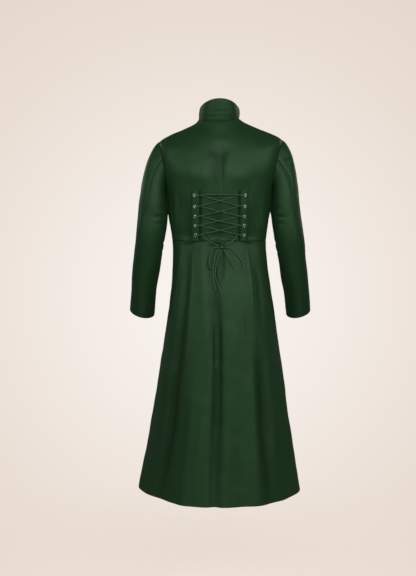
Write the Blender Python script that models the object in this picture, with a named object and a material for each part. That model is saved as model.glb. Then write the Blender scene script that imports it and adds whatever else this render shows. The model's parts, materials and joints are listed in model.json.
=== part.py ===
"""A long fitted coat with a laced back, standing in its worn, hollow form.

Metres, +Z up. The wearer faces -Y, and +X is the wearer's left. The origin is the middle of the
neckline, at the height where the shoulder seams meet the collar. The body is one smooth surface read
by level and angle: a level is a height at the side seam, and an angle turns from the centre back (0)
over the left side (90) to the centre front (180). Each panel is a patch of it with its own thickness.
"""

from collections import namedtuple
from math import cos, degrees, exp, pi, radians, sin, sqrt

import bmesh
import bpy
import numpy as np
from mathutils import Vector

# Cloth and seams
WALL = 0.0018
COLLAR_WALL = 0.0026
STRIP_WALL = 0.0020
SEAM_GAP = 0.0003
LAP = 0.022
LAP_SUNK = 0.0029
LAP_EASE_START = 0.004
LAP_EASE = 0.022

# Levels of the body
HEM = -1.206
WAIST = -0.389
ARMPIT = -0.225
SHOULDER_TIP = -0.068
NECK = 0.0

# Armhole, as degrees that it cuts into the back and the front from the side seam
ARMHOLE_BACK = 16
ARMHOLE_FRONT = 18

# Columns of faces
BACK_COLUMNS = 20
FRONT_COLUMNS = 10
LAP_COLUMNS = 3
CENTRE_GORE_COLUMNS = 7
SIDE_GORE_COLUMNS = 8
UNDER_SLEEVE_COLUMNS = 10
UPPER_SLEEVE_COLUMNS = 14

# Collar
COLLAR_HALF_WIDTH = 0.0630
COLLAR_BACK = 0.078
COLLAR_FRONT = 0.064
COLLAR_SIDE_TOP = 0.035
COLLAR_BACK_TOP = 0.0575
COLLAR_FRONT_TOP = -0.030
COLLAR_BULGE = 0.002
COLLAR_END = 178.4
COLLAR_CURVE_END = 176
COLLAR_CORNER_START = 168.0
COLLAR_CORNER_DROP = 0.30

# Lacing strips, measured from the centre back
STRIP_INNER = 0.0635
STRIP_FLAT_END = 0.0840
STRIP_OUTER = 0.0890
STRIP_COLUMNS = (STRIP_INNER, 0.0675, 0.0720, 0.0760, 0.0800, STRIP_FLAT_END, 0.0865, STRIP_OUTER)
STRIP_TOP = -0.2284
STRIP_BOTTOM = -0.3885
STRIP_LIFT = 0.0046
STRIP_ROWS = 10

# Eyelets
HOLE_RADIUS = 0.0032
BARREL_RADIUS = 0.0029
EYE_RADIUS = 0.0023
FLANGE_RADIUS = 0.0046
FLANGE_THICKNESS = 0.0008
EYELET_SEGMENTS = 10

# Lace and bow
LACE_RADIUS = 0.0018
LACE_ON_PANEL = LACE_RADIUS + 0.0005
LACE_ON_LACE = LACE_ON_PANEL + 2 * LACE_RADIUS + 0.0004
LACE_ON_STRIP = STRIP_LIFT + STRIP_WALL + FLANGE_THICKNESS + 2 * SEAM_GAP + LACE_RADIUS
LACE_TURN = 0.0026
LACE_SPACING = 0.0105
KNOT_X = -0.006
KNOT_Z = -0.410
KNOT_HALF_WIDTH = 0.0062
KNOT_HALF_HEIGHT = 0.0050
KNOT_HALF_DEPTH = 0.0042

# Buttons
BUTTON_RADIUS = 0.011
BUTTON_THICKNESS = 0.004
BUTTON_PROFILE = (
    (0, 0),
    (BUTTON_RADIUS - 0.0006, 0),
    (BUTTON_RADIUS, BUTTON_THICKNESS - 0.0012),
    (BUTTON_RADIUS - 0.0012, BUTTON_THICKNESS),
    (BUTTON_RADIUS - 0.0030, BUTTON_THICKNESS - 0.0008),
    (0, BUTTON_THICKNESS - 0.0008),
)
BUTTON_LIFT = 0.0008
BUTTON_SEGMENTS = 14
FIRST_BUTTON = -0.095
BUTTON_SPACING = 0.078
BUTTON_COUNT = 6

# Colours: red, green, blue
CLOTH_GREEN = (0.014, 0.042, 0.016)
LACE_GREEN = (0.020, 0.058, 0.024)
BUTTON_GREEN = (0.008, 0.022, 0.010)
NICKEL = (0.62, 0.62, 0.60)

Ring = namedtuple(
    "Ring", "level back_z front_z half_width back front square ridge shift tilt"
)
Fold = namedtuple("Fold", "angle width depth start full")
GoreSeams = namedtuple("GoreSeams", "level left centre right")
SleeveRing = namedtuple("SleeveRing", "step x y z half_width half_depth elbow")
Eyelet = namedtuple("Eyelet", "x z")
LacePoint = namedtuple("LacePoint", "x z lift")


def level_ring(level, half_width, back, front, square, shift):
    """A ring whose edge is at one height all round."""
    return Ring(level, level, level, half_width, back, front, square, 8, shift, 0)


# Depths are from the middle to the centre back and the centre front. The coat hangs a little
# unevenly: shift moves a ring towards the wearer's left, and tilt raises it on that side.
BODY = (
    level_ring(HEM, 0.2720, 0.226, 0.204, 2.02, 0.000),
    level_ring(-1.030, 0.2390, 0.196, 0.181, 2.06, -0.003),
    level_ring(-0.850, 0.2095, 0.169, 0.158, 2.10, -0.005),
    level_ring(-0.700, 0.1850, 0.148, 0.139, 2.15, -0.006),
    level_ring(-0.587, 0.1685, 0.131, 0.126, 2.20, -0.006),
    level_ring(-0.500, 0.1560, 0.113, 0.118, 2.20, -0.004),
    level_ring(-0.440, 0.1525, 0.098, 0.111, 2.20, -0.001),
    level_ring(WAIST, 0.1520, 0.086, 0.106, 2.20, 0.001),
    level_ring(-0.340, 0.1580, 0.092, 0.112, 2.25, 0.001),
    level_ring(-0.270, 0.1660, 0.101, 0.122, 2.30, 0.001),
    level_ring(ARMPIT, 0.1705, 0.105, 0.127, 2.40, 0.001),
    Ring(-0.150, -0.172, -0.175, 0.1890, 0.107, 0.124, 2.55, 8, 0.000, 0.000),
    Ring(-0.100, -0.137, -0.143, 0.1955, 0.103, 0.116, 2.60, 7, -0.002, -0.008),
    Ring(SHOULDER_TIP, -0.112, -0.124, 0.1945, 0.097, 0.106, 2.40, 6, -0.004, -0.015),
    Ring(-0.030, -0.066, -0.098, 0.1165, 0.084, 0.084, 2.20, 4, -0.002, -0.020),
    Ring(-0.012, -0.036, -0.083, 0.0780, 0.0725, 0.067, 2.12, 3, 0.000, -0.025),
    Ring(NECK, -0.013, -0.070, 0.0645, 0.066, 0.058, 2.10, 2, 0.002, -0.025),
)

# A negative depth is a valley, and a positive one a ridge
FOLDS = (
    Fold(59, 23, -0.026, -0.60, -1.15),
    Fold(30, 6, 0.004, -0.60, -1.00),
    Fold(4.6, 4, -0.007, -0.50, -0.75),
    Fold(-18, 6, -0.004, -0.70, -1.10),
    Fold(-33, 8, 0.005, -0.60, -1.00),
    Fold(-47, 9, -0.005, -0.60, -1.05),
    Fold(-66, 12, -0.009, -0.62, -1.15),
    Fold(80, 6, -0.003, -0.60, -1.10),
    Fold(-90, 8, -0.005, -0.60, -1.10),
    Fold(125, 10, -0.012, -0.55, -1.05),
    Fold(-128, 11, -0.013, -0.58, -1.05),
    Fold(152, 7, -0.008, -0.60, -1.05),
    Fold(-151, 8, -0.008, -0.55, -1.05),
)

GORE_SEAMS = (
    GoreSeams(HEM, 35, 4.5, -37),
    GoreSeams(-0.80, 40, 4.5, -43),
    GoreSeams(-0.50, 46, 1.5, -48),
    GoreSeams(WAIST, 50, 0, -51),
)
SKIRT_LEVELS = (
    HEM, -1.08, -0.97, -0.87, -0.78, -0.69, -0.60, -0.53, -0.47, -0.43, -0.406, WAIST,
)
SIDE_LEVELS = (WAIST, -0.374, -0.356, -0.332, -0.300, -0.262, ARMPIT)
SHOULDER_LEVELS = (-0.048, -0.030, -0.014, NECK)
ARMHOLE_TURNS = range(15, 195, 15)

# One row for each station from the bicep to the wrist, and the angle of the elbow seam round it
SLEEVE = (
    SleeveRing(1, 0.2145, 0.004, -0.300, 0.0480, 0.060, 122),
    SleeveRing(2, 0.2245, 0.002, -0.375, 0.0475, 0.056, 140),
    SleeveRing(3, 0.2385, -0.027, -0.460, 0.0455, 0.051, 138),
    SleeveRing(4, 0.2525, -0.062, -0.550, 0.0425, 0.046, 133),
    SleeveRing(5, 0.2625, -0.095, -0.632, 0.0410, 0.043, 128),
)
SLEEVE_STEPS = (0, 0.15, 0.3, 0.5, 0.75, 1, 1.6, 2.2, 2.8, 3.4, 4.2, 5)
CAP_ELBOW = 105
CAP_FRONT_SEAM = -45
CUFF_FRONT_SEAM = -40
UNDERARM_START = np.array((0.25, 0.0, -0.97))
SHOULDER_START = np.array((0.90, 0.0, -0.43))
CAP_FULLNESS = 0.66
CUFF_SLANT = 0.005
LEFT_SWING = -0.004
RIGHT_SWING = 0.004

# Each row is one pair of eyelets
EYELETS = (
    Eyelet(0.0780, -0.2456),
    Eyelet(0.0772, -0.2796),
    Eyelet(0.0765, -0.3108),
    Eyelet(0.0757, -0.3397),
    Eyelet(0.0748, -0.3696),
)

# The top bar of one half of the lace, from the middle outwards; z is over the first eyelet
TOP_BAR = (
    LacePoint(SEAM_GAP / 2, 0.0030, 0.0068),
    LacePoint(0.0300, 0.0025, 0.0076),
    LacePoint(STRIP_INNER, 0.0005, LACE_ON_STRIP),
)

# Between the strips: where the lace comes out from under one, where it passes its other half,
# and where it climbs to the other strip, as widths on the side that it leaves
LACE_OUT = 0.0580
LACE_OUT_DROP = 0.0015
LACE_PASS_START = 0.0140
LACE_PASS_END = -0.0100
LACE_CLIMB = -0.0450
LACE_CLIMB_LIFT = 0.0074
LACE_IN_RISE = 0.0012

# The last stretch of each half, down to the knot; the second point is measured from the knot
LACE_TO_KNOT = LacePoint(0.0360, -0.3900, LACE_ON_PANEL + 0.0006)
LACE_AT_KNOT = LacePoint(0.0085, 0.0052, 0.0046)

# Routes of the bow, from the knot outwards
RIGHT_LOOP = (
    LacePoint(-0.0150, -0.4100, 0.0046),
    LacePoint(-0.0255, -0.4105, 0.0034),
    LacePoint(-0.0380, -0.4165, LACE_ON_PANEL),
    LacePoint(-0.0490, -0.4275, LACE_ON_PANEL),
    LacePoint(-0.0610, -0.4405, LACE_ON_PANEL),
    LacePoint(-0.0690, -0.4520, LACE_ON_PANEL),
    LacePoint(-0.0735, -0.4640, LACE_ON_PANEL),
    LacePoint(-0.0725, -0.4770, LACE_ON_PANEL),
    LacePoint(-0.0655, -0.4870, LACE_ON_PANEL),
    LacePoint(-0.0565, -0.4880, LACE_ON_PANEL),
    LacePoint(-0.0470, -0.4790, LACE_ON_PANEL),
    LacePoint(-0.0385, -0.4630, LACE_ON_PANEL),
    LacePoint(-0.0300, -0.4470, LACE_ON_PANEL),
    LacePoint(-0.0205, -0.4300, 0.0030),
    LacePoint(-0.0122, -0.4165, 0.0040),
)
LEFT_LOOP = (
    LacePoint(0.0030, -0.4096, 0.0046),
    LacePoint(0.0125, -0.4100, 0.0036),
    LacePoint(0.0220, -0.4160, LACE_ON_PANEL),
    LacePoint(0.0290, -0.4290, LACE_ON_PANEL),
    LacePoint(0.0325, -0.4440, LACE_ON_PANEL),
    LacePoint(0.0332, -0.4590, LACE_ON_PANEL),
    LacePoint(0.0305, -0.4712, LACE_ON_PANEL),
    LacePoint(0.0250, -0.4748, 0.0044),
    LacePoint(0.0196, -0.4692, LACE_ON_LACE),
    LacePoint(0.0170, -0.4550, LACE_ON_LACE),
    LacePoint(0.0165, -0.4420, LACE_ON_LACE),
    LacePoint(0.0130, -0.4290, LACE_ON_LACE),
    LacePoint(0.0075, -0.4200, LACE_ON_LACE),
    LacePoint(0.0020, -0.4148, 0.0058),
)
FIRST_TAIL = (
    LacePoint(-0.0066, -0.4172, 0.0038),
    LacePoint(-0.0030, -0.4250, 0.0024),
    LacePoint(0.0040, -0.4370, LACE_ON_PANEL),
    LacePoint(0.0082, -0.4500, LACE_ON_PANEL),
    LacePoint(0.0112, -0.4640, LACE_ON_PANEL),
    LacePoint(0.0135, -0.4770, LACE_ON_PANEL),
    LacePoint(0.0140, -0.4900, LACE_ON_PANEL),
    LacePoint(0.0118, -0.5050, LACE_ON_PANEL),
    LacePoint(0.0070, -0.5200, LACE_ON_PANEL),
    LacePoint(0.0005, -0.5370, LACE_ON_PANEL),
    LacePoint(-0.0075, -0.5540, LACE_ON_PANEL),
)
SECOND_TAIL = (
    LacePoint(-0.0020, -0.4166, 0.0024),
    LacePoint(0.0040, -0.4250, LACE_ON_PANEL),
    LacePoint(0.0110, -0.4340, LACE_ON_PANEL),
    LacePoint(0.0152, -0.4460, LACE_ON_PANEL),
    LacePoint(0.0178, -0.4600, LACE_ON_PANEL),
    LacePoint(0.0197, -0.4750, LACE_ON_PANEL),
    LacePoint(0.0202, -0.4900, LACE_ON_PANEL),
    LacePoint(0.0188, -0.5060, LACE_ON_PANEL),
    LacePoint(0.0160, -0.5230, LACE_ON_PANEL),
    LacePoint(0.0118, -0.5440, LACE_ON_PANEL),
)


class Smooth:
    """A smooth curve through rows of values, one row for each knot.

    A steady curve never swings past its own values, as a lace held by its eyelets doesn't.
    """

    def __init__(self, knots, rows, steady=False):
        self.knots = np.asarray(knots, float)
        self.rows = np.asarray(rows, float)
        steps = np.diff(self.knots)[:, None]
        rises = np.diff(self.rows, axis=0) / steps
        mix = steady_slopes if steady else even_slopes
        inner = mix(steps[:-1], steps[1:], rises[:-1], rises[1:])
        self.slopes = np.vstack([rises[:1], inner, rises[-1:]])

    def at(self, knot):
        i = int(np.clip(np.searchsorted(self.knots, knot) - 1, 0, len(self.knots) - 2))
        span = self.knots[i + 1] - self.knots[i]
        return hermite(
            self.rows[i],
            self.slopes[i] * span,
            self.rows[i + 1],
            self.slopes[i + 1] * span,
            (knot - self.knots[i]) / span,
        )


def even_slopes(before, after, rise_before, rise_after):
    return (after * rise_before + before * rise_after) / (before + after)


def steady_slopes(before, after, rise_before, rise_after):
    weight_before, weight_after = 2 * after + before, after + 2 * before
    turning = rise_before * rise_after <= 0
    safe_before = np.where(turning, 1.0, rise_before)
    safe_after = np.where(turning, 1.0, rise_after)
    slope = (weight_before + weight_after) / (weight_before / safe_before + weight_after / safe_after)
    return np.where(turning, 0.0, slope)


def hermite(start, start_slope, end, end_slope, t):
    """The cubic from start to end that leaves and arrives along the slopes."""
    square, cube = t * t, t * t * t
    return (
        (2 * cube - 3 * square + 1) * start
        + (cube - 2 * square + t) * start_slope
        + (3 * square - 2 * cube) * end
        + (cube - square) * end_slope
    )


def ease(t):
    """From 0 to 1 with level ends."""
    t = min(max(t, 0.0), 1.0)
    return t * t * (3 - 2 * t)


def unit(vector):
    return vector / np.linalg.norm(vector)


BODY_CURVE = Smooth([ring.level for ring in BODY], BODY)
SEAM_CURVE = Smooth([row.level for row in GORE_SEAMS], GORE_SEAMS)
SLEEVE_CURVE = Smooth([ring.step for ring in SLEEVE], SLEEVE)


def fold_depth(level, angle):
    """How far the skirt's folds stand out at a place, or in where negative."""
    total = 0.0
    for fold in FOLDS:
        grown = ease((fold.start - level) / (fold.start - fold.full))
        apart = (angle - fold.angle + 180) % 360 - 180
        total += fold.depth * grown * exp(-((apart / fold.width) ** 2))
    return total


def body_point(level, angle):
    """The coat's outer surface."""
    ring = Ring(*BODY_CURVE.at(level))
    across, along = sin(radians(angle)), cos(radians(angle))
    depth, end_z = (ring.back, ring.back_z) if along > 0 else (ring.front, ring.front_z)
    power = abs(across / ring.half_width) ** ring.square + abs(along / depth) ** ring.square
    reach = power ** (-1 / ring.square) + fold_depth(level, angle)
    drop = (end_z - ring.level) * (1 - abs(across) ** ring.ridge)
    height = ring.level + drop + ring.tilt * reach * across
    return np.array((reach * across + ring.shift, reach * along, height))


def body_normal(level, angle):
    return normal_of(body_point, level, angle, (HEM, NECK))


def normal_of(surface, level, angle, ends, sign=1):
    """The outward normal, from small steps along both ways of the surface."""
    small, turn = 0.0015, 0.5
    up = surface(min(level + small, ends[1]), angle) - surface(max(level - small, ends[0]), angle)
    around = surface(level, angle + turn) - surface(level, angle - turn)
    return unit(np.cross(up, around)) * sign


def on_back(x, z, lift):
    """The point at this width and height over the back, lifted off the cloth."""
    low, high = -80.0, 80.0
    for _ in range(40):
        middle = (low + high) / 2
        if body_point(z, middle)[0] < x:
            low = middle
        else:
            high = middle
    return body_point(z, low) + body_normal(z, low) * lift


def front_level(z):
    """The level whose centre front is at this height."""
    low, high = HEM, NECK
    for _ in range(40):
        middle = (low + high) / 2
        if body_point(middle, 180)[2] < z:
            low = middle
        else:
            high = middle
    return low


def make_material(name, colour, roughness, metallic=0.0):
    material = bpy.data.materials.new(name)
    material.use_nodes = True
    shader = material.node_tree.nodes["Principled BSDF"]
    shader.inputs["Base Color"].default_value = (*colour, 1.0)
    shader.inputs["Roughness"].default_value = roughness
    shader.inputs["Metallic"].default_value = metallic
    return material


def add_object(name, data, material):
    made = bpy.data.objects.new(name, data)
    bpy.context.scene.collection.objects.link(made)
    data.materials.append(material)
    return made


def add_mesh(name, body, material):
    """An object from a bmesh, with its faces turned outwards."""
    bmesh.ops.recalc_face_normals(body, faces=body.faces)
    mesh = bpy.data.meshes.new(name)
    body.to_mesh(mesh)
    body.free()
    mesh.shade_smooth()
    mesh.set_sharp_from_angle(angle=radians(50))
    return add_object(name, mesh, material)


def add_slab(name, outer, inner, material):
    """A closed wall between two grids of points."""
    rows, columns = outer.shape[:2]
    body = bmesh.new()
    front, back = (
        [[body.verts.new(point) for point in row] for row in grid] for grid in (outer, inner)
    )
    for grid in (front, back):
        for r in range(rows - 1):
            for c in range(columns - 1):
                body.faces.new((grid[r][c], grid[r][c + 1], grid[r + 1][c + 1], grid[r + 1][c]))
    edge = [(0, c) for c in range(columns)]
    edge += [(r, columns - 1) for r in range(1, rows)]
    edge += [(rows - 1, c) for c in range(columns - 2, -1, -1)]
    edge += [(r, 0) for r in range(rows - 2, 0, -1)]
    for (r, c), (s, d) in zip(edge, edge[1:] + edge[:1]):
        body.faces.new((front[r][c], front[s][d], back[s][d], back[r][c]))
    return add_mesh(name, body, material)


def pull_in(points):
    """Moves the grid's edges in by half a seam gap, so two neighbours stand a gap apart."""
    moved = points.copy()
    for edge, next_in in (
        ((0,), (1,)),
        ((-1,), (-2,)),
        ((slice(None), 0), (slice(None), 1)),
        ((slice(None), -1), (slice(None), -2)),
    ):
        ways = points[next_in] - points[edge]
        moved[edge] += ways / np.linalg.norm(ways, axis=-1, keepdims=True) * SEAM_GAP / 2
    return moved


def add_patch(name, surface, places, ends, thickness, material, sign=1):
    """A panel of cloth: the patch of the surface over a grid of places."""
    outer = pull_in(np.array([[surface(*place) for place in row] for row in places]))
    normals = np.array([[normal_of(surface, *place, ends, sign) for place in row] for row in places])
    return add_slab(name, outer, outer - normals * thickness, material)


def spread(level, start, end, columns):
    """Places at one level, evenly spaced from one angle to another."""
    return [(level, start + (end - start) * c / columns) for c in range(columns + 1)]


def armhole_level(turn):
    return ARMPIT + (SHOULDER_TIP - ARMPIT) * (1 - cos(radians(turn))) / 2


def bodice_rows():
    """Level and armhole turn of each row, from the waist to the neck."""
    rows = [(level, 0) for level in SIDE_LEVELS]
    rows += [(armhole_level(turn), turn) for turn in ARMHOLE_TURNS]
    return rows + [(level, 0) for level in SHOULDER_LEVELS]


def lap_turn(level):
    """The angle that the lap takes past the centre front."""
    return degrees(LAP / Ring(*BODY_CURVE.at(level)).front)


def sunk_front(level, angle):
    """The left front, which runs just under the right one near the centre."""
    point = body_point(level, angle)
    depth = 1 - ease((point[0] - LAP - LAP_EASE_START) / LAP_EASE)
    return point - body_normal(level, angle) * LAP_SUNK * depth


def right_front(level, angle):
    return body_point(level, -angle)


def front_places(rows, columns):
    """Places of a left front, from its side edge past the centre by the lap."""
    places = []
    for level, edge in rows:
        lap = lap_turn(level)
        row = spread(level, edge, 180, columns)
        row += [(level, 180 + lap * c / LAP_COLUMNS) for c in range(1, LAP_COLUMNS + 1)]
        places.append(row)
    return places


def add_fronts(name, rows, material):
    places = front_places(rows, FRONT_COLUMNS)
    ends = (HEM, NECK)
    add_patch(name + "_left", sunk_front, places, ends, WALL, material)
    add_patch(name + "_right", right_front, places, ends, WALL, material, sign=-1)


def add_bodice(material):
    back = []
    front = []
    for level, turn in bodice_rows():
        cut = sin(radians(turn))
        edge = 90 - ARMHOLE_BACK * cut
        back.append(spread(level, -edge, edge, BACK_COLUMNS))
        front.append((level, 90 + ARMHOLE_FRONT * cut))
    add_patch("bodice_back", body_point, back, (HEM, NECK), WALL, material)
    add_fronts("bodice_front", front, material)


def add_gore(name, edges, columns, material):
    """A skirt panel; its edges are a function of level that gives two angles."""
    places = [spread(level, *edges(level), columns) for level in SKIRT_LEVELS]
    add_patch(name, body_point, places, (HEM, WAIST), WALL, material)


def add_skirt(material):
    def seams(level):
        return GoreSeams(*SEAM_CURVE.at(level))

    add_gore("skirt_side_back_left", lambda z: (seams(z).left, 90), SIDE_GORE_COLUMNS, material)
    add_gore(
        "skirt_back_left", lambda z: (seams(z).centre, seams(z).left), CENTRE_GORE_COLUMNS, material
    )
    add_gore(
        "skirt_back_right", lambda z: (seams(z).right, seams(z).centre), CENTRE_GORE_COLUMNS, material
    )
    add_gore("skirt_side_back_right", lambda z: (-90, seams(z).right), SIDE_GORE_COLUMNS, material)
    add_fronts("skirt_front", [(level, 90) for level in SKIRT_LEVELS], material)


def tube_point(side, step, angle):
    """The sleeve from the bicep down; its angle turns from the inside over the back."""
    ring = SleeveRing(*SLEEVE_CURVE.at(step))
    ahead = SLEEVE_CURVE.at(step + 0.01)[1:4] - SLEEVE_CURVE.at(step - 0.01)[1:4]
    way = unit(ahead)
    out = unit(np.array((1.0, 0.0, 0.0)) - way[0] * way)
    back = np.cross(out, way)
    swing = LEFT_SWING if side > 0 else RIGHT_SWING
    turn = radians(angle)
    centre = np.array((ring.x + swing * (step - 1) / 4, ring.y, ring.z))
    centre = centre + way * CUFF_SLANT * cos(turn) * ease(step - SLEEVE[-2].step)
    point = centre - ring.half_width * cos(turn) * out + ring.half_depth * sin(turn) * back
    return point * np.array((side, 1, 1))


def armhole_point(side, angle):
    """The armhole's edge, a seam gap outside the body."""
    turn = angle % 360
    level = armhole_level(min(turn, 360 - turn))
    cut = ARMHOLE_BACK if turn <= 180 else ARMHOLE_FRONT
    point = body_point(level, side * (90 - cut * sin(radians(turn))))
    return point + np.array((side * SEAM_GAP, 0.0, 0.0))


def cap_point(side, step, angle):
    """The sleeve head, from the armhole to the bicep."""
    start, end = armhole_point(side, angle), tube_point(side, 1, angle)
    length = np.linalg.norm(end - start)
    over = (1 - cos(radians(angle))) / 2
    leave = UNDERARM_START + (SHOULDER_START - UNDERARM_START) * over
    leave = unit(leave * np.array((side, 1, 1)))
    arrive = unit(tube_point(side, 1.02, angle) - end)
    return hermite(start, leave * length * CAP_FULLNESS, end, arrive * length, step)


def sleeve_surface(side):
    """The outer surface of one sleeve: side is 1 for the left and -1 for the right."""

    def surface(step, angle):
        make = cap_point if step < 1 else tube_point
        return make(side, step, angle)

    return surface


def elbow_angle(step):
    if step < 1:
        return CAP_ELBOW + (SLEEVE[0].elbow - CAP_ELBOW) * step
    return SleeveRing(*SLEEVE_CURVE.at(step)).elbow


def add_sleeve(side, material):
    name = "left" if side > 0 else "right"
    surface = sleeve_surface(side)
    under, upper = [], []
    for step in SLEEVE_STEPS:
        front = CAP_FRONT_SEAM + (CUFF_FRONT_SEAM - CAP_FRONT_SEAM) * step / SLEEVE_STEPS[-1]
        elbow = elbow_angle(step)
        under.append(spread(step, front, elbow, UNDER_SLEEVE_COLUMNS))
        upper.append(spread(step, elbow, front + 360, UPPER_SLEEVE_COLUMNS))
    ends = (0, SLEEVE_STEPS[-1])
    add_patch("sleeve_under_" + name, surface, under, ends, WALL, material, sign=-side)
    add_patch("sleeve_upper_" + name, surface, upper, ends, WALL, material, sign=-side)


def collar_point(rise, angle):
    """The stand collar, from the neckline (0) to its top edge (1)."""
    across, along = sin(radians(angle)), cos(radians(angle))
    depth, end_top = (
        (COLLAR_BACK, COLLAR_BACK_TOP) if along > 0 else (COLLAR_FRONT, COLLAR_FRONT_TOP)
    )
    reach = 1 / sqrt((across / COLLAR_HALF_WIDTH) ** 2 + (along / depth) ** 2)
    top_z = COLLAR_SIDE_TOP + (end_top - COLLAR_SIDE_TOP) * (1 - across**2)
    top = np.array((reach * across, reach * along, top_z))
    base = body_point(NECK, angle) + np.array((0, 0, SEAM_GAP))
    corner = max(abs(angle) - COLLAR_CORNER_START, 0) / (COLLAR_END - COLLAR_CORNER_START)
    rise = rise * (1 - COLLAR_CORNER_DROP * (1 - sqrt(max(1 - corner**2, 0))))
    bulge = np.array((across, along, 0)) * COLLAR_BULGE * sin(pi * rise)
    return base + (top - base) * rise + bulge


def add_collar(material):
    step = 180 / BACK_COLUMNS
    angles = [step * c for c in range(-BACK_COLUMNS + 1, BACK_COLUMNS)]
    angles = [-COLLAR_END, -COLLAR_CURVE_END] + angles + [COLLAR_CURVE_END, COLLAR_END]
    places = [[(rise, angle) for angle in angles] for rise in (0, 0.5, 1)]
    add_patch("collar", collar_point, places, (0, 1), COLLAR_WALL, material)


def strip_lift(x):
    """The underside of a lacing strip over the back: sewn down outside, raised at its free edge."""
    down = ease((abs(x) - STRIP_FLAT_END) / (STRIP_OUTER - STRIP_FLAT_END))
    return STRIP_LIFT + (SEAM_GAP - STRIP_LIFT) * down


def add_strip(side, material):
    heights = np.linspace(STRIP_BOTTOM, STRIP_TOP, STRIP_ROWS)
    under, over = (
        np.array([[on_back(side * x, z, strip_lift(x) + lift) for x in STRIP_COLUMNS] for z in heights])
        for lift in (0, STRIP_WALL)
    )
    name = "left" if side > 0 else "right"
    strip = add_slab("lacing_strip_" + name, over, under, material)
    for row, eyelet in enumerate(EYELETS):
        cutter = add_hole_cutter(f"hole_{name}_{row + 1}", side, eyelet, material)
        cut = strip.modifiers.new(cutter.name, "BOOLEAN")
        cut.operation = "DIFFERENCE"
        cut.solver = "EXACT"
        cut.object = cutter


def stand_on_back(made, side, eyelet, lift):
    """Places a piece turned about its own Z on the back, with that axis along the cloth's normal."""
    place = on_back(side * eyelet.x, eyelet.z, lift)
    normal = Vector(on_back(side * eyelet.x, eyelet.z, lift + 0.01) - place)
    made.location = place
    made.rotation_mode = "QUATERNION"
    made.rotation_quaternion = normal.to_track_quat("Z", "Y")


def add_hole_cutter(name, side, eyelet, material):
    body = bmesh.new()
    bmesh.ops.create_cone(
        body,
        cap_ends=True,
        segments=EYELET_SEGMENTS,
        radius1=HOLE_RADIUS,
        radius2=HOLE_RADIUS,
        depth=3 * STRIP_WALL,
    )
    cutter = add_mesh(name, body, material)
    stand_on_back(cutter, side, eyelet, STRIP_LIFT + STRIP_WALL / 2)
    cutter.hide_render = True
    cutter.display_type = "WIRE"
    return cutter


def turned(profile, segments, closed):
    """A bmesh turned about Z from a profile of radius and height."""
    body = bmesh.new()
    corners = [body.verts.new((radius, 0, height)) for radius, height in profile]
    pairs = list(zip(corners, corners[1:])) + ([(corners[-1], corners[0])] if closed else [])
    lines = [body.edges.new(pair) for pair in pairs]
    bmesh.ops.spin(
        body,
        geom=corners + lines,
        axis=(0, 0, 1),
        cent=(0, 0, 0),
        angle=2 * pi,
        steps=segments,
        use_merge=True,
    )
    bmesh.ops.remove_doubles(body, verts=body.verts, dist=1e-6)
    return body


def add_eyelet(name, side, eyelet, material):
    """A flange over the strip and a barrel through it, turned about the hole."""
    under = SEAM_GAP
    over = under + FLANGE_THICKNESS
    profile = (
        (EYE_RADIUS, -STRIP_WALL),
        (BARREL_RADIUS, -STRIP_WALL),
        (BARREL_RADIUS, under),
        (FLANGE_RADIUS, under),
        (FLANGE_RADIUS - 0.0004, over),
        (EYE_RADIUS, over),
    )
    made = add_mesh(name, turned(profile, EYELET_SEGMENTS, closed=True), material)
    stand_on_back(made, side, eyelet, STRIP_LIFT + STRIP_WALL)


def cord_points(route):
    """Points over the cloth along the smooth curve through a route, its own points among them."""
    corners = np.array([on_back(*point) for point in route])
    lengths = np.linalg.norm(np.diff(corners, axis=0), axis=1)
    knots = np.concatenate([[0.0], np.cumsum(lengths)])
    curve = Smooth(knots, route, steady=True)
    points = []
    for start, length in zip(knots, lengths):
        parts = max(1, round(length / LACE_SPACING))
        points += [on_back(*curve.at(start + length * part / parts)) for part in range(parts)]
    return points + [corners[-1]]


def add_cord(name, route, material):
    points = cord_points(route)
    curve = bpy.data.curves.new(name, "CURVE")
    curve.dimensions = "3D"
    curve.bevel_depth = LACE_RADIUS
    curve.bevel_resolution = 2
    curve.use_fill_caps = True
    curve.render_resolution_u = 0
    spline = curve.splines.new("POLY")
    spline.points.add(len(points) - 1)
    for spot, point in zip(spline.points, points):
        spot.co = (*point, 1.0)
    return add_object(name, curve, material)


def turn_through(side, eyelet):
    """The lace over a strip, down through its eyelet and back under it."""
    over, under = LACE_ON_STRIP, LACE_ON_PANEL
    bend = LACE_TURN * (1 - sqrt(0.5))
    points = (
        (eyelet.x - LACE_TURN, over),
        (eyelet.x - bend, over - bend),
        (eyelet.x, over - LACE_TURN),
        (eyelet.x, under + LACE_TURN),
        (eyelet.x - bend, under + bend),
        (eyelet.x - LACE_TURN, under),
    )
    return [LacePoint(side * x, eyelet.z, lift) for x, lift in points]


def crossing(side, start_z, end_z, over):
    """The lace from under one strip to the edge of the other, over or under its other half."""
    pass_lift = LACE_ON_LACE if over else LACE_ON_PANEL
    points = (
        (LACE_PASS_START, pass_lift),
        (LACE_PASS_END, pass_lift),
        (LACE_CLIMB, LACE_CLIMB_LIFT),
        (-STRIP_INNER, LACE_ON_STRIP),
    )
    fall = (end_z - start_z) / (LACE_OUT + STRIP_INNER)
    return [LacePoint(side * x, start_z + (LACE_OUT - x) * fall, lift) for x, lift in points]


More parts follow.
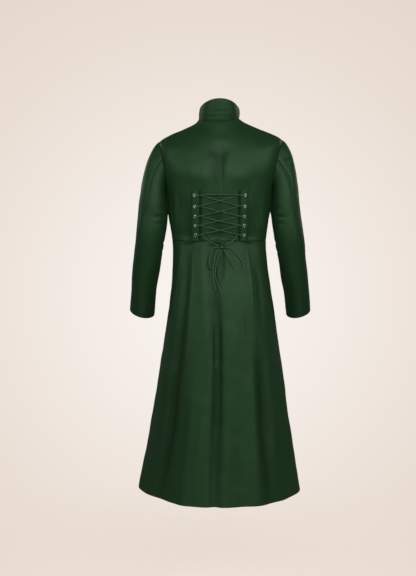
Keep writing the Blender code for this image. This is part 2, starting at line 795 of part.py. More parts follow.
def half_lace_route(side):
    """One half of the lace, from the middle of its top bar to the knot."""
    route = [LacePoint(side * x, EYELETS[0].z + z, lift) for x, z, lift in TOP_BAR]
    for row, eyelet in enumerate(EYELETS):
        route += turn_through(side, eyelet)
        route.append(LacePoint(side * LACE_OUT, eyelet.z - LACE_OUT_DROP, LACE_ON_PANEL))
        if row + 1 == len(EYELETS):
            break
        over = (row % 2 == 0) == (side > 0)
        route += crossing(side, route[-1].z, EYELETS[row + 1].z + LACE_IN_RISE, over)
        side = -side
    route.append(LACE_TO_KNOT._replace(x=side * LACE_TO_KNOT.x + KNOT_X / 2))
    x, z, lift = LACE_AT_KNOT
    route.append(LacePoint(KNOT_X + side * x, KNOT_Z + z, lift))
    return route


def add_knot(material):
    body = bmesh.new()
    bmesh.ops.create_uvsphere(body, u_segments=12, v_segments=8, radius=1)
    size = (KNOT_HALF_WIDTH, KNOT_HALF_HEIGHT, KNOT_HALF_DEPTH)
    bmesh.ops.scale(body, vec=size, verts=body.verts)
    knot = add_mesh("lace_knot", body, material)
    stand_on_back(knot, 1, Eyelet(KNOT_X, KNOT_Z), KNOT_HALF_DEPTH + SEAM_GAP)


def add_lace(material):
    add_cord("lace_left", half_lace_route(1), material)
    add_cord("lace_right", half_lace_route(-1), material)
    add_knot(material)
    add_cord("lace_loop_right", RIGHT_LOOP, material)
    add_cord("lace_loop_left", LEFT_LOOP, material)
    add_cord("lace_tail_1", FIRST_TAIL, material)
    add_cord("lace_tail_2", SECOND_TAIL, material)


def add_button(name, z, material):
    """A plain dished button at the centre front."""
    made = add_mesh(name, turned(BUTTON_PROFILE, BUTTON_SEGMENTS, closed=False), material)
    level = front_level(z)
    normal = body_normal(level, 180)
    made.location = body_point(level, 180) + normal * BUTTON_LIFT
    made.rotation_mode = "QUATERNION"
    made.rotation_quaternion = Vector(normal).to_track_quat("Z", "Y")


def main():
    for old in list(bpy.data.objects):
        bpy.data.objects.remove(old)
    cloth = make_material("green_satin", CLOTH_GREEN, 0.55)
    lace = make_material("green_lace", LACE_GREEN, 0.60)
    metal = make_material("nickel", NICKEL, 0.30, metallic=1.0)
    horn = make_material("dark_horn", BUTTON_GREEN, 0.35)
    add_bodice(cloth)
    add_skirt(cloth)
    add_collar(cloth)
    for side, name in ((1, "left"), (-1, "right")):
        add_sleeve(side, cloth)
        add_strip(side, cloth)
        for row, eyelet in enumerate(EYELETS):
            add_eyelet(f"eyelet_{name}_{row + 1}", side, eyelet, metal)
    add_lace(lace)
    for row in range(BUTTON_COUNT):
        add_button(f"button_{row + 1}", FIRST_BUTTON - row * BUTTON_SPACING, horn)


main()
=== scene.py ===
"""The finish of a long fitted coat with a laced back, built around its fixed frame.

Metres, +Z up. The wearer faces -Y, and +X is the wearer's left. The cloth follows one smooth surface
read by level and angle: a level is a height at the side seam, and an angle turns from the centre back
(0) over the left side (90) to the centre front (180). Run it as a script; the sidebar lists its steps.
"""

import json
from collections import namedtuple
from functools import cache
from math import pi, radians, sqrt

import bmesh
import bpy
import numpy as np
from bpy.props import FloatProperty, FloatVectorProperty, IntProperty, PointerProperty
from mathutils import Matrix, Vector

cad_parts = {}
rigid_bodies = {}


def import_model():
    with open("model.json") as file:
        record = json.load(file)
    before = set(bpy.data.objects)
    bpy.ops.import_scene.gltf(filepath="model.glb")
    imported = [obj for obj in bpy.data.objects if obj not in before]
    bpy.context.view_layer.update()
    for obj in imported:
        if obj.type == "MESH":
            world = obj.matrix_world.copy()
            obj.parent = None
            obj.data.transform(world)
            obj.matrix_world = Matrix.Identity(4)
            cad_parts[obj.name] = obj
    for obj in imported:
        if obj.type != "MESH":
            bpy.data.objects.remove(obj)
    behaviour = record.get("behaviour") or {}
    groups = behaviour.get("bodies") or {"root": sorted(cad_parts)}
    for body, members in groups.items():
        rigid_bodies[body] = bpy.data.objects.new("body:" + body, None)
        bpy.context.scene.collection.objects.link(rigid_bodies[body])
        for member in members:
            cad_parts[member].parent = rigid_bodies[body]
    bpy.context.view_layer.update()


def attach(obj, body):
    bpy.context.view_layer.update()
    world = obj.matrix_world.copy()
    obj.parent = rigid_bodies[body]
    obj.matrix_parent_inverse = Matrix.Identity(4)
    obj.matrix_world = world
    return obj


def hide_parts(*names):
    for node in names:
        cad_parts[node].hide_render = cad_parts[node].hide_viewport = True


bl_info = {
    "name": "Laced Long Coat",
    "version": (1, 0, 0),
    "blender": (4, 5, 0),
    "location": "View3D > Sidebar > Coat",
    "description": "Finishes a long coat with a laced back: cloth, seams, lace, eyelets and buttons",
    "category": "Add Mesh",
}

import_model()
BODY_NAME = "root"

# Levels of the body
HEM = -1.206
WAIST = -0.389
ARMPIT = -0.225
SHOULDER_TIP = -0.068
NECK = 0.0

# Armhole: degrees that it cuts into the back and the front from the side seam
ARMHOLE_BACK = 16
ARMHOLE_FRONT = 18

# The right front laps over the left one
LAP = 0.022
LAP_SUNK = 0.0029
LAP_EASE_START = 0.004
LAP_EASE = 0.022

# Collar
COLLAR_HALF_WIDTH = 0.0630
COLLAR_BACK = 0.078
COLLAR_FRONT = 0.064
COLLAR_SIDE_TOP = 0.035
COLLAR_BACK_TOP = 0.0575
COLLAR_FRONT_TOP = -0.030
COLLAR_BULGE = 0.002
COLLAR_SINK = 0.06
COLLAR_TUCK = 0.0026
COLLAR_END = 178.4
COLLAR_CORNER_START = 168.0
COLLAR_CORNER_DROP = 0.30

# Lacing strips, measured from the centre back
STRIP_INNER = 0.0635
STRIP_FLAT_END = 0.0840
STRIP_OUTER = 0.0890
STRIP_TOP = -0.2284
STRIP_BOTTOM = -0.3885
STRIP_LIFT = 0.0046
HOLE_RADIUS = 0.0032
HOLE_SIDES = 24
# Painted shadow along a strip's raised inner edge, on the strip and on the back under it: how dark and how
# wide
STRIP_EDGE_SHADE = 0.90
STRIP_EDGE_REACH = 0.0022
STRIP_PILLOW = 0.0004
STRIP_CUT = 4
STRIP_COLUMNS = 12
STRIP_ROWS = 64

# Eyelets
EYE_RADIUS = 0.0023
BARREL_RADIUS = 0.0029
FLANGE_RADIUS = 0.0050
FLANGE_THICKNESS = 0.0008
FLANGE_POINTS = 9
EYELET_SIDES = 32

# Lace and knot
LACE_TURN = 0.0026
KNOT_X = -0.006
KNOT_Z = -0.410
KNOT_HALF_DEPTH = 0.0042

# The knot's two wraps, and the lace that runs through them
Wrap = namedtuple("Wrap", "middle slant size")
WRAPS = (Wrap(-0.0026, 0.0009, 1.0), Wrap(0.0024, -0.0012, 0.92))
WRAP_HALF_HEIGHT = 0.0033
WRAP_HALF_DEPTH = 0.0023
WRAP_POINTS = 32
WRAP_THICKNESS = 0.95
CORE_HALF_LENGTH = 0.0058
CORE_POINTS = 12
CORE_SUNK = 0.0006
CORE_WAVE = 0.0006
CORE_WAVE_RATE = 400
CORE_THICKNESS = 1.05

# Buttons
FIRST_BUTTON = -0.095
BUTTON_SPACING = 0.078
BUTTON_COUNT = 6
BUTTON_LIFT = 0.0008
BUTTON_HOLE = 0.0009
BUTTON_HOLE_PLACE = 0.0028
BUTTON_HOLE_TURNS = (45, 135, 225, 315)
BUTTON_CUT = 0.02

# Turned pieces: how near two points are welded, and the angle from which an edge is sharp
WELD = 1e-6
SHARP_ANGLE = 60

# The section of a button
Rim = namedtuple("Rim", "radius height")
BUTTON_SECTION = (
    Rim(0, 0), Rim(0.0094, 0), Rim(0.0104, 0.0005), Rim(0.0109, 0.0015), Rim(0.0110, 0.0026),
    Rim(0.0106, 0.0036), Rim(0.0098, 0.0040), Rim(0.0088, 0.0038), Rim(0.0078, 0.0029),
    Rim(0.0068, 0.0025), Rim(0, 0.0024),
)

Ring = namedtuple(
    "Ring", "level back_z front_z half_width back front square ridge shift tilt"
)
Fold = namedtuple("Fold", "angle width depth start full")
GoreSeams = namedtuple("GoreSeams", "level left centre right")
SleeveRing = namedtuple("SleeveRing", "step x y z half_width half_depth elbow")
Eyelet = namedtuple("Eyelet", "x z")
LacePoint = namedtuple("LacePoint", "x z lift")
Place = namedtuple("Place", "level angle")
Crease = namedtuple("Crease", "start middle end width end_width depth")
Edges = namedtuple("Edges", "low high first last")
Cloth = namedtuple("Cloth", "outer normals")


# How flat the ridge is over a ring whose edge is at one height
LEVEL_RIDGE = 8


def level_ring(level, half_width, back, front, square, shift):
    """A ring whose edge is at one height all round."""
    return Ring(level, level, level, half_width, back, front, square, LEVEL_RIDGE, shift, 0)


BODY = (
    level_ring(HEM, 0.2720, 0.226, 0.204, 2.02, 0.000),
    level_ring(-1.030, 0.2390, 0.196, 0.181, 2.06, -0.003),
    level_ring(-0.850, 0.2095, 0.169, 0.158, 2.10, -0.005),
    level_ring(-0.700, 0.1850, 0.148, 0.139, 2.15, -0.006),
    level_ring(-0.587, 0.1685, 0.131, 0.126, 2.20, -0.006),
    level_ring(-0.500, 0.1560, 0.113, 0.118, 2.20, -0.004),
    level_ring(-0.440, 0.1525, 0.098, 0.111, 2.20, -0.001),
    level_ring(WAIST, 0.1520, 0.086, 0.106, 2.20, 0.001),
    level_ring(-0.340, 0.1580, 0.092, 0.112, 2.25, 0.001),
    level_ring(-0.270, 0.1660, 0.101, 0.122, 2.30, 0.001),
    level_ring(ARMPIT, 0.1705, 0.105, 0.127, 2.40, 0.001),
    Ring(-0.150, -0.172, -0.175, 0.1890, 0.107, 0.124, 2.55, 8, 0.000, 0.000),
    Ring(-0.100, -0.137, -0.143, 0.1955, 0.103, 0.116, 2.60, 7, -0.002, -0.008),
    Ring(SHOULDER_TIP, -0.112, -0.124, 0.1945, 0.097, 0.106, 2.40, 6, -0.004, -0.015),
    Ring(-0.030, -0.066, -0.098, 0.1165, 0.084, 0.084, 2.20, 4, -0.002, -0.020),
    Ring(-0.012, -0.036, -0.083, 0.0780, 0.0725, 0.067, 2.12, 3, 0.000, -0.025),
    Ring(NECK, -0.013, -0.070, 0.0645, 0.066, 0.058, 2.10, 2, 0.002, -0.025),
)

# The skirt's large folds; a negative depth is a valley, and a positive one a ridge
FOLDS = (
    Fold(59, 23, -0.026, -0.60, -1.15),
    Fold(30, 6, 0.004, -0.60, -1.00),
    Fold(4.6, 4, -0.007, -0.50, -0.75),
    Fold(-18, 6, -0.004, -0.70, -1.10),
    Fold(-33, 8, 0.005, -0.60, -1.00),
    Fold(-47, 9, -0.005, -0.60, -1.05),
    Fold(-66, 12, -0.009, -0.62, -1.15),
    Fold(80, 6, -0.003, -0.60, -1.10),
    Fold(-90, 8, -0.005, -0.60, -1.10),
    Fold(125, 10, -0.012, -0.55, -1.05),
    Fold(-128, 11, -0.013, -0.58, -1.05),
    Fold(152, 7, -0.008, -0.60, -1.05),
    Fold(-151, 8, -0.008, -0.55, -1.05),
)

GORE_SEAMS = (
    GoreSeams(HEM, 35, 4.5, -37),
    GoreSeams(-0.80, 40, 4.5, -43),
    GoreSeams(-0.50, 46, 1.5, -48),
    GoreSeams(WAIST, 50, 0, -51),
)

# One row for each station from the bicep to the wrist, and the angle of the elbow seam round it
SLEEVE = (
    SleeveRing(1, 0.2145, 0.004, -0.300, 0.0480, 0.060, 122),
    SleeveRing(2, 0.2245, 0.002, -0.375, 0.0475, 0.056, 140),
    SleeveRing(3, 0.2385, -0.027, -0.460, 0.0455, 0.051, 138),
    SleeveRing(4, 0.2525, -0.062, -0.550, 0.0425, 0.046, 133),
    SleeveRing(5, 0.2625, -0.095, -0.632, 0.0410, 0.043, 128),
)
SLEEVE_REACH = SLEEVE[-1].step - SLEEVE[0].step
CAP_ELBOW = 105
CAP_FRONT_SEAM = -45
CUFF_FRONT_SEAM = -40
UNDERARM_START = np.array((0.25, 0.0, -0.97))
SHOULDER_START = np.array((0.90, 0.0, -0.43))
CAP_FULLNESS = 0.66
CUFF_SLANT = 0.005
LEFT_SWING = -0.004
RIGHT_SWING = 0.004

EYELETS = (
    Eyelet(0.0780, -0.2456),
    Eyelet(0.0772, -0.2796),
    Eyelet(0.0765, -0.3108),
    Eyelet(0.0757, -0.3397),
    Eyelet(0.0748, -0.3696),
)

# Spacing of the cloth's points, and the closer ones beside each edge
POINT_SPACING = 0.0045
COLLAR_ROW_SPACING = POINT_SPACING / 1.6
COLLAR_COLUMN_SPACING = POINT_SPACING / 1.3
ARMHOLE_ROWS = 46
EDGE_STEPS = np.array((0.0, 0.0006, 0.0013, 0.0022, 0.0034))

# Angles at which the rows are evenly spaced, and the points on which that is measured
SIDE_ROW_ANGLE = 60
SHOULDER_ROW_ANGLE = 80
SKIRT_ROW_ANGLE = 20
SLEEVE_ROW_ANGLE = 90
FINE_POINTS = 400
COARSE_POINTS = 30

# The search for a place on the cloth: how far round it looks, and how often it halves that
SEARCH_ANGLE = 80.0
SEARCH_HALVINGS = 40

# A small step down a sleeve, to find its way, and a small height over the cloth for the same
SLEEVE_STEP = 0.01
LIFT_STEP = 0.01

# Each kind of edge: how far it draws the cloth in, how soon that comes back up, how dark the shade
# painted down in its seam is, and how near to it the creases begin
EdgeKind = namedtuple("EdgeKind", "roll reach shade fade")
EDGE_KINDS = {
    "folded": EdgeKind(0.0005, 0.0014, 0.0, 0.0),
    "gore": EdgeKind(0.0004, 0.0024, 0.16, 0.0),
    "waist": EdgeKind(0.0010, 0.0030, 0.60, 0.012),
    "elbow": EdgeKind(0.0014, 0.0032, 0.90, 0.0),
    "set": EdgeKind(0.0005, 0.0030, 0.16, 0.014),
}
RIM_BULGE = 0.30
# How far from an edge the painted shade of its seam reaches
SEAM_SHADE_REACH = 0.0034

# The pressed line beside an elbow seam, where the seam's edge shows through, with shade painted along it
PRESS_INSET = 0.0100
PRESS_WIDTH = 0.0016
PRESS_DEPTH = 0.0014
PRESS_SHADE = 0.85

# Creases of the back: level and angle of three places, then the widths at both ends and the depth
BACK_CREASES = (
    Crease(Place(-0.034, 2.4), Place(-0.112, 1.0), Place(-0.205, -3.0), 0.0220, 0.0060, -0.0054),
    Crease(Place(-0.105, 56.0), Place(-0.160, 38.0), Place(-0.200, 15.0), 0.0380, 0.0300, 0.0038),
    Crease(Place(-0.105, -56.0), Place(-0.164, -36.0), Place(-0.200, -17.0), 0.0380, 0.0300, 0.0042),
    Crease(Place(-0.222, 30.7), Place(-0.305, 33.2), Place(-0.393, 36.8), 0.0032, 0.0032, -0.0034),
    Crease(Place(-0.222, -31.3), Place(-0.305, -33.9), Place(-0.393, -37.6), 0.0032, 0.0032, -0.0034),
    Crease(Place(-0.100, -2.4), Place(-0.181, -3.5), Place(-0.262, -3.6), 0.0060, 0.0065, -0.0028),
    Crease(Place(-0.085, 12.8), Place(-0.169, 11.5), Place(-0.262, 11.3), 0.0070, 0.0070, -0.0024),
    Crease(Place(-0.108, 5.0), Place(-0.169, 4.2), Place(-0.240, 4.0), 0.0045, 0.0045, 0.0010),
    Crease(Place(-0.075, -11.0), Place(-0.169, -13.5), Place(-0.262, -14.5), 0.0120, 0.0110, 0.0016),
    Crease(Place(-0.075, 25.5), Place(-0.169, 25.0), Place(-0.262, 25.5), 0.0120, 0.0110, 0.0014),
    Crease(Place(-0.140, 45.5), Place(-0.210, 44.8), Place(-0.285, 45.0), 0.0030, 0.0030, -0.0024),
    Crease(Place(-0.150, -48.0), Place(-0.200, -48.4), Place(-0.262, -48.6), 0.0030, 0.0030, -0.0024),
    Crease(Place(-0.205, 74.0), Place(-0.265, 73.0), Place(-0.345, 76.0), 0.0130, 0.0100, -0.0030),
    Crease(Place(-0.235, 60.0), Place(-0.300, 62.0), Place(-0.362, 70.0), 0.0110, 0.0080, -0.0022),
    Crease(Place(-0.190, -74.0), Place(-0.250, -74.0), Place(-0.330, -78.0), 0.0130, 0.0100, -0.0024),
    Crease(Place(-0.250, -60.0), Place(-0.310, -63.0), Place(-0.366, -72.0), 0.0100, 0.0070, -0.0014),
    Crease(Place(-0.362, 56.0), Place(-0.367, 70.0), Place(-0.358, 84.0), 0.0070, 0.0070, -0.0010),
    Crease(Place(-0.366, -55.0), Place(-0.363, -70.0), Place(-0.368, -83.0), 0.0070, 0.0070, -0.0009),
    Crease(Place(-0.240, 5.5), Place(-0.345, 5.0), Place(-0.460, 6.0), 0.0220, 0.0240, -0.0056),
    Crease(Place(-0.220, 55.0), Place(-0.345, 52.0), Place(-0.480, 54.0), 0.0300, 0.0280, -0.0050),
    Crease(Place(-0.225, -55.0), Place(-0.345, -53.0), Place(-0.480, -55.0), 0.0300, 0.0280, -0.0044),
    Crease(Place(-0.030, 20.0), Place(-0.022, 45.0), Place(-0.028, 68.0), 0.0090, 0.0090, -0.0008),
    Crease(Place(-0.028, -24.0), Place(-0.022, -48.0), Place(-0.034, -66.0), 0.0090, 0.0090, -0.0008),
    Crease(Place(-0.195, 90.0), Place(-0.258, 89.0), Place(-0.340, 89.0), 0.0220, 0.0200, 0.0070),
    Crease(Place(-0.195, -90.0), Place(-0.252, -89.0), Place(-0.320, -89.0), 0.0220, 0.0180, 0.0070),
)
SKIRT_CREASES = (
    Crease(Place(-0.392, 13.0), Place(-0.540, 12.0), Place(-0.780, 5.5), 0.0180, 0.0200, -0.0070),
    Crease(Place(-0.540, 9.0), Place(-0.860, 4.4), Place(-1.300, 7.0), 0.0180, 0.0260, -0.0072),
    Crease(Place(-0.396, -4.0), Place(-0.450, -3.4), Place(-0.520, 0.5), 0.0150, 0.0090, -0.0070),
    Crease(Place(-0.396, 32.0), Place(-0.500, 29.5), Place(-0.660, 23.0), 0.0140, 0.0160, 0.0024),
    Crease(Place(-0.396, 49.0), Place(-0.559, 42.6), Place(-0.790, 42.0), 0.0042, 0.0050, 0.0032),
    Crease(Place(-0.396, 57.0), Place(-0.574, 50.5), Place(-0.800, 50.5), 0.0160, 0.0180, -0.0050),
    Crease(Place(-0.400, -51.0), Place(-0.496, -45.5), Place(-0.640, -40.0), 0.0060, 0.0070, 0.0024),
    Crease(Place(-0.540, -25.0), Place(-0.640, -27.0), Place(-0.760, -29.0), 0.0060, 0.0080, 0.0018),
    Crease(Place(-0.460, -57.0), Place(-0.540, -54.0), Place(-0.700, -50.0), 0.0160, 0.0180, -0.0034),
    Crease(Place(-0.420, -20.0), Place(-0.665, -15.0), Place(-0.980, -18.5), 0.0220, 0.0300, 0.0026),
    Crease(Place(-0.396, 22.0), Place(-0.450, 20.0), Place(-0.540, 16.0), 0.0240, 0.0200, -0.0036),
    Crease(Place(-0.396, -20.0), Place(-0.450, -19.0), Place(-0.540, -16.0), 0.0240, 0.0200, -0.0030),
    Crease(Place(-0.420, 66.0), Place(-0.520, 67.0), Place(-0.700, 66.0), 0.0110, 0.0140, 0.0024),
    Crease(Place(-0.420, -76.0), Place(-0.540, -78.0), Place(-0.700, -76.0), 0.0100, 0.0120, -0.0022),
    Crease(Place(-0.700, -46.0), Place(-0.949, -42.5), Place(-1.280, -39.0), 0.0260, 0.0300, -0.0100),
    Crease(Place(-0.600, 50.0), Place(-0.920, 53.5), Place(-1.260, 57.0), 0.0230, 0.0320, -0.0110),
    Crease(Place(-0.740, -33.0), Place(-0.960, -32.0), Place(-1.220, -30.0), 0.0140, 0.0160, 0.0030),
    Crease(Place(-0.860, 18.0), Place(-1.000, 20.0), Place(-1.230, 21.0), 0.0140, 0.0160, 0.0020),
    Crease(Place(-0.860, -8.0), Place(-0.990, -7.5), Place(-1.190, -8.5), 0.0120, 0.0140, 0.0014),
    Crease(Place(-0.402, 112.0), Place(-0.500, 116.0), Place(-0.640, 122.0), 0.0090, 0.0120, -0.0030),
    Crease(Place(-0.402, -114.0), Place(-0.490, -117.0), Place(-0.620, -125.0), 0.0090, 0.0120, -0.0032),
    Crease(Place(-0.405, 146.0), Place(-0.480, 149.0), Place(-0.600, 151.0), 0.0080, 0.0120, -0.0022),
    Crease(Place(-0.405, -143.0), Place(-0.470, -147.0), Place(-0.590, -150.0), 0.0080, 0.0120, -0.0024),
)
FRONT_CREASES = (
    Crease(Place(-0.200, 106.0), Place(-0.245, 116.0), Place(-0.290, 130.0), 0.0100, 0.0100, -0.0022),
    Crease(Place(-0.235, 98.0), Place(-0.300, 104.0), Place(-0.360, 118.0), 0.0110, 0.0110, -0.0026),
    Crease(Place(-0.340, 112.0), Place(-0.352, 134.0), Place(-0.346, 156.0), 0.0080, 0.0080, -0.0018),
    Crease(Place(-0.090, 128.0), Place(-0.130, 142.0), Place(-0.180, 150.0), 0.0100, 0.0100, -0.0014),
)
SLEEVE_CREASES = (
    Crease(Place(0.02, 0.0), Place(0.42, -4.0), Place(1.00, 0.0), 0.0200, 0.0200, 0.0060),
    Crease(Place(1.05, 20.0), Place(1.12, 58.0), Place(1.24, 92.0), 0.0048, 0.0048, -0.0030),
    Crease(Place(1.45, 12.0), Place(1.42, 48.0), Place(1.52, 80.0), 0.0070, 0.0070, -0.0018),
    Crease(Place(0.78, 8.0), Place(0.80, 44.0), Place(0.90, 76.0), 0.0080, 0.0080, -0.0024),
    Crease(Place(2.10, -30.0), Place(2.20, 10.0), Place(2.15, 45.0), 0.0080, 0.0080, -0.0026),
    Crease(Place(2.55, -50.0), Place(2.50, -10.0), Place(2.62, 30.0), 0.0080, 0.0080, -0.0022),
    Crease(Place(1.70, 285.0), Place(1.86, 320.0), Place(1.80, 350.0), 0.0080, 0.0080, -0.0024),
    Crease(Place(2.35, 262.0), Place(2.30, 300.0), Place(2.42, 338.0), 0.0075, 0.0075, -0.0020),
    Crease(Place(3.10, 60.0), Place(3.60, 66.0), Place(4.30, 60.0), 0.0120, 0.0120, -0.0012),
)
RIGHT_HEAD_CREASES = (
    Crease(Place(0.16, 118.0), Place(0.24, 134.0), Place(0.36, 156.0), 0.0044, 0.0044, -0.0040),
    Crease(Place(0.34, 112.0), Place(0.46, 124.0), Place(0.74, 126.0), 0.0044, 0.0044, -0.0034),
    Crease(Place(0.22, 126.0), Place(0.32, 142.0), Place(0.46, 160.0), 0.0040, 0.0040, 0.0020),
)
COLLAR_CREASES = (
    Crease(Place(0.40, -38.0), Place(0.44, -6.0), Place(0.36, 30.0), 0.0038, 0.0038, -0.0009),
    Crease(Place(0.18, -20.0), Place(0.22, 14.0), Place(0.16, 44.0), 0.0034, 0.0034, -0.0008),
    Crease(Place(0.62, 22.0), Place(0.58, 48.0), Place(0.66, 74.0), 0.0034, 0.0034, -0.0006),
)
CREASE_POINTS = 28
CREASE_REACH = 3.0

# How the creases of the other side differ: degrees round, metres down and share of the depth
MIRROR_TURN = 3.0
MIRROR_DROP = 0.006
MIRROR_SHARE = 0.9

# Painted shade down in a crease: how dark it is painted at this depth and under it
CREASE_SHADE = 0.50
CREASE_DEEP = 0.0080

# Painted shade in the hollow between the shoulder blades, which narrows downwards
HOLLOW_TOP = -0.108
HOLLOW_BOTTOM = -0.240
HOLLOW_HALF_WIDTH = 0.033
HOLLOW_EDGE = 0.013
HOLLOW_TOP_EDGE = 0.008
HOLLOW_SHADE = 0.60

# Slow unevenness of the cloth; each wave sways from side to side over a longer stretch
Ripple = namedtuple("Ripple", "length way height")
RIPPLES = (
    Ripple(0.110, (0.9, 0.2, 0.4), 0.00050),
    Ripple(0.073, (0.3, 0.8, -0.5), 0.00035),
    Ripple(0.165, (-0.5, 0.5, 0.7), 0.00060),
    Ripple(0.049, (0.7, -0.4, 0.6), 0.00018),
)
SWAY_LENGTH = 1.7
SWAY = 1.3

# Heights of the lace's middle over the cloth
LACE_ON_PANEL = 0.0023
LACE_ON_LACE = 0.0063
LACE_ON_STRIP = 0.0098

# The top bar of one half of the lace, from the middle outwards; z is over the first eyelet
TOP_BAR = (
    LacePoint(-0.0008, 0.0030, 0.0068),
    LacePoint(0.0300, 0.0025, 0.0076),
    LacePoint(STRIP_INNER, 0.0005, LACE_ON_STRIP),
)

# Between the strips: where the lace comes out from under one, where it passes its other half,
# and where it climbs to the other strip, as widths on the side that it leaves
LACE_OUT = 0.0580
LACE_OUT_DROP = 0.0015
LACE_PASS_START = 0.0140
LACE_PASS_END = -0.0100
LACE_CLIMB = -0.0450
LACE_CLIMB_LIFT = 0.0074
LACE_IN_RISE = 0.0012

# The last stretch of each half, down to the knot; the second point is measured from the knot
LACE_TO_KNOT = LacePoint(0.0360, -0.3900, LACE_ON_PANEL + 0.0006)
LACE_AT_KNOT = LacePoint(0.0085, 0.0052, 0.0046)

# Routes of the bow, from the knot outwards
RIGHT_LOOP = (
    LacePoint(-0.0150, -0.4100, 0.0046),
    LacePoint(-0.0255, -0.4105, 0.0034),
    LacePoint(-0.0380, -0.4165, LACE_ON_PANEL),
    LacePoint(-0.0490, -0.4275, LACE_ON_PANEL),
    LacePoint(-0.0610, -0.4405, LACE_ON_PANEL),
    LacePoint(-0.0690, -0.4520, LACE_ON_PANEL),
    LacePoint(-0.0735, -0.4640, LACE_ON_PANEL),
    LacePoint(-0.0725, -0.4770, LACE_ON_PANEL),
    LacePoint(-0.0655, -0.4870, LACE_ON_PANEL),
    LacePoint(-0.0565, -0.4880, LACE_ON_PANEL),
    LacePoint(-0.0470, -0.4790, LACE_ON_PANEL),
    LacePoint(-0.0385, -0.4630, LACE_ON_PANEL),
    LacePoint(-0.0300, -0.4470, LACE_ON_PANEL),
    LacePoint(-0.0205, -0.4300, 0.0030),
    LacePoint(-0.0122, -0.4165, 0.0040),
)
LEFT_LOOP = (
    LacePoint(0.0030, -0.4096, 0.0046),
    LacePoint(0.0125, -0.4100, 0.0036),
    LacePoint(0.0220, -0.4160, LACE_ON_PANEL),
    LacePoint(0.0290, -0.4290, LACE_ON_PANEL),
    LacePoint(0.0325, -0.4440, LACE_ON_PANEL),
    LacePoint(0.0332, -0.4590, LACE_ON_PANEL),
    LacePoint(0.0305, -0.4712, LACE_ON_PANEL),
    LacePoint(0.0250, -0.4748, 0.0044),
    LacePoint(0.0196, -0.4692, LACE_ON_LACE),
    LacePoint(0.0170, -0.4550, LACE_ON_LACE),
    LacePoint(0.0165, -0.4420, LACE_ON_LACE),
    LacePoint(0.0130, -0.4290, LACE_ON_LACE),
    LacePoint(0.0075, -0.4200, LACE_ON_LACE),
    LacePoint(0.0020, -0.4148, 0.0058),
)
FIRST_TAIL = (
    LacePoint(-0.0066, -0.4172, 0.0038),
    LacePoint(-0.0030, -0.4250, 0.0024),
    LacePoint(0.0040, -0.4370, LACE_ON_PANEL),
    LacePoint(0.0082, -0.4500, LACE_ON_PANEL),
    LacePoint(0.0112, -0.4640, LACE_ON_PANEL),
    LacePoint(0.0135, -0.4770, LACE_ON_PANEL),
    LacePoint(0.0140, -0.4900, LACE_ON_PANEL),
    LacePoint(0.0118, -0.5050, LACE_ON_PANEL),
    LacePoint(0.0070, -0.5200, LACE_ON_PANEL),
    LacePoint(0.0005, -0.5370, LACE_ON_PANEL),
    LacePoint(-0.0075, -0.5540, LACE_ON_PANEL),
)
SECOND_TAIL = (
    LacePoint(-0.0020, -0.4166, 0.0024),
    LacePoint(0.0040, -0.4250, LACE_ON_PANEL),
    LacePoint(0.0110, -0.4340, LACE_ON_PANEL),
    LacePoint(0.0152, -0.4460, LACE_ON_PANEL),
    LacePoint(0.0178, -0.4600, LACE_ON_PANEL),
    LacePoint(0.0197, -0.4750, LACE_ON_PANEL),
    LacePoint(0.0202, -0.4900, LACE_ON_PANEL),
    LacePoint(0.0188, -0.5060, LACE_ON_PANEL),
    LacePoint(0.0160, -0.5230, LACE_ON_PANEL),
    LacePoint(0.0118, -0.5440, LACE_ON_PANEL),
)
LACE_STEP = 0.0022
LACE_SIDES = 12
LACE_TIP_RINGS = 5
LACE_TIP_ROOM = 1.2

# A way along which no cord starts
ASIDE = (0.3, 0.5, 0.8)

# Rows of stitching: faces of a stitch, how far over the cloth, and how far from their edges
STITCH_SIDES = 6
STITCH_RINGS = 5
STITCH_LIFT = 0.0001
STRIP_INNER_STITCH = 0.0016
STRIP_OUTER_STITCH = 0.0030
FRONT_STITCH = 0.006
COLLAR_STITCH = 0.005
HEM_DEPTH = 0.026

# Spacing of the cloth's weave and of the lace's strands, and how far the strands lean, in radians
WEAVE = 0.0007
BRAID = 0.0011
BRAID_LEAN = 0.8

# The tint of the gloss on the cloth and the lace
GREEN_GLOSS = (0.66, 1.0, 0.68, 1)

# Floor
FLOOR_Z = -1.56
FLOOR_RADIUS = 1.5
FLOOR_SIDES = 96
FLOOR_FADE = 0.45
FLOOR_SHARE = 0.35
FLOOR_GLOW = 0.72

# Camera: place, look and lens
CAMERA_PLACE = (0.037, 3.1, -0.307)
CAMERA_DROP = 4.376
CAMERA_LENS = 59.6

# Lamps, each with the place that it is aimed at
Lamp = namedtuple("Lamp", "name place aim width height power")
LAMPS = (
    Lamp("key", (-0.3, 2.5, 0.65), (0, 0, -0.35), 3.4, 0.8, 47),
    Lamp("low_fill", (0.0, 3.2, -1.3), (0, 0, -0.4), 3.6, 0.8, 10),
    Lamp("left_side", (2.2, 1.5, 0.3), (0, 0, -0.2), 1.2, 1.2, 14),
    Lamp("right_side", (-2.2, 1.6, 0.3), (0, 0, -0.2), 1.2, 1.2, 13),
    Lamp("left_front", (3.0, -2.4, 0.8), (0, 0, -0.5), 1.4, 1.4, 12),
    Lamp("right_front", (-2.6, -2.7, 0.8), (0, 0, -0.5), 1.4, 1.4, 10),
)
AMBIENT = 0.08

# Backdrop: where its glow is centred, and how far it reaches, in radians
BACKDROP_DROP = 4.9
BACKDROP_REACH = 0.36


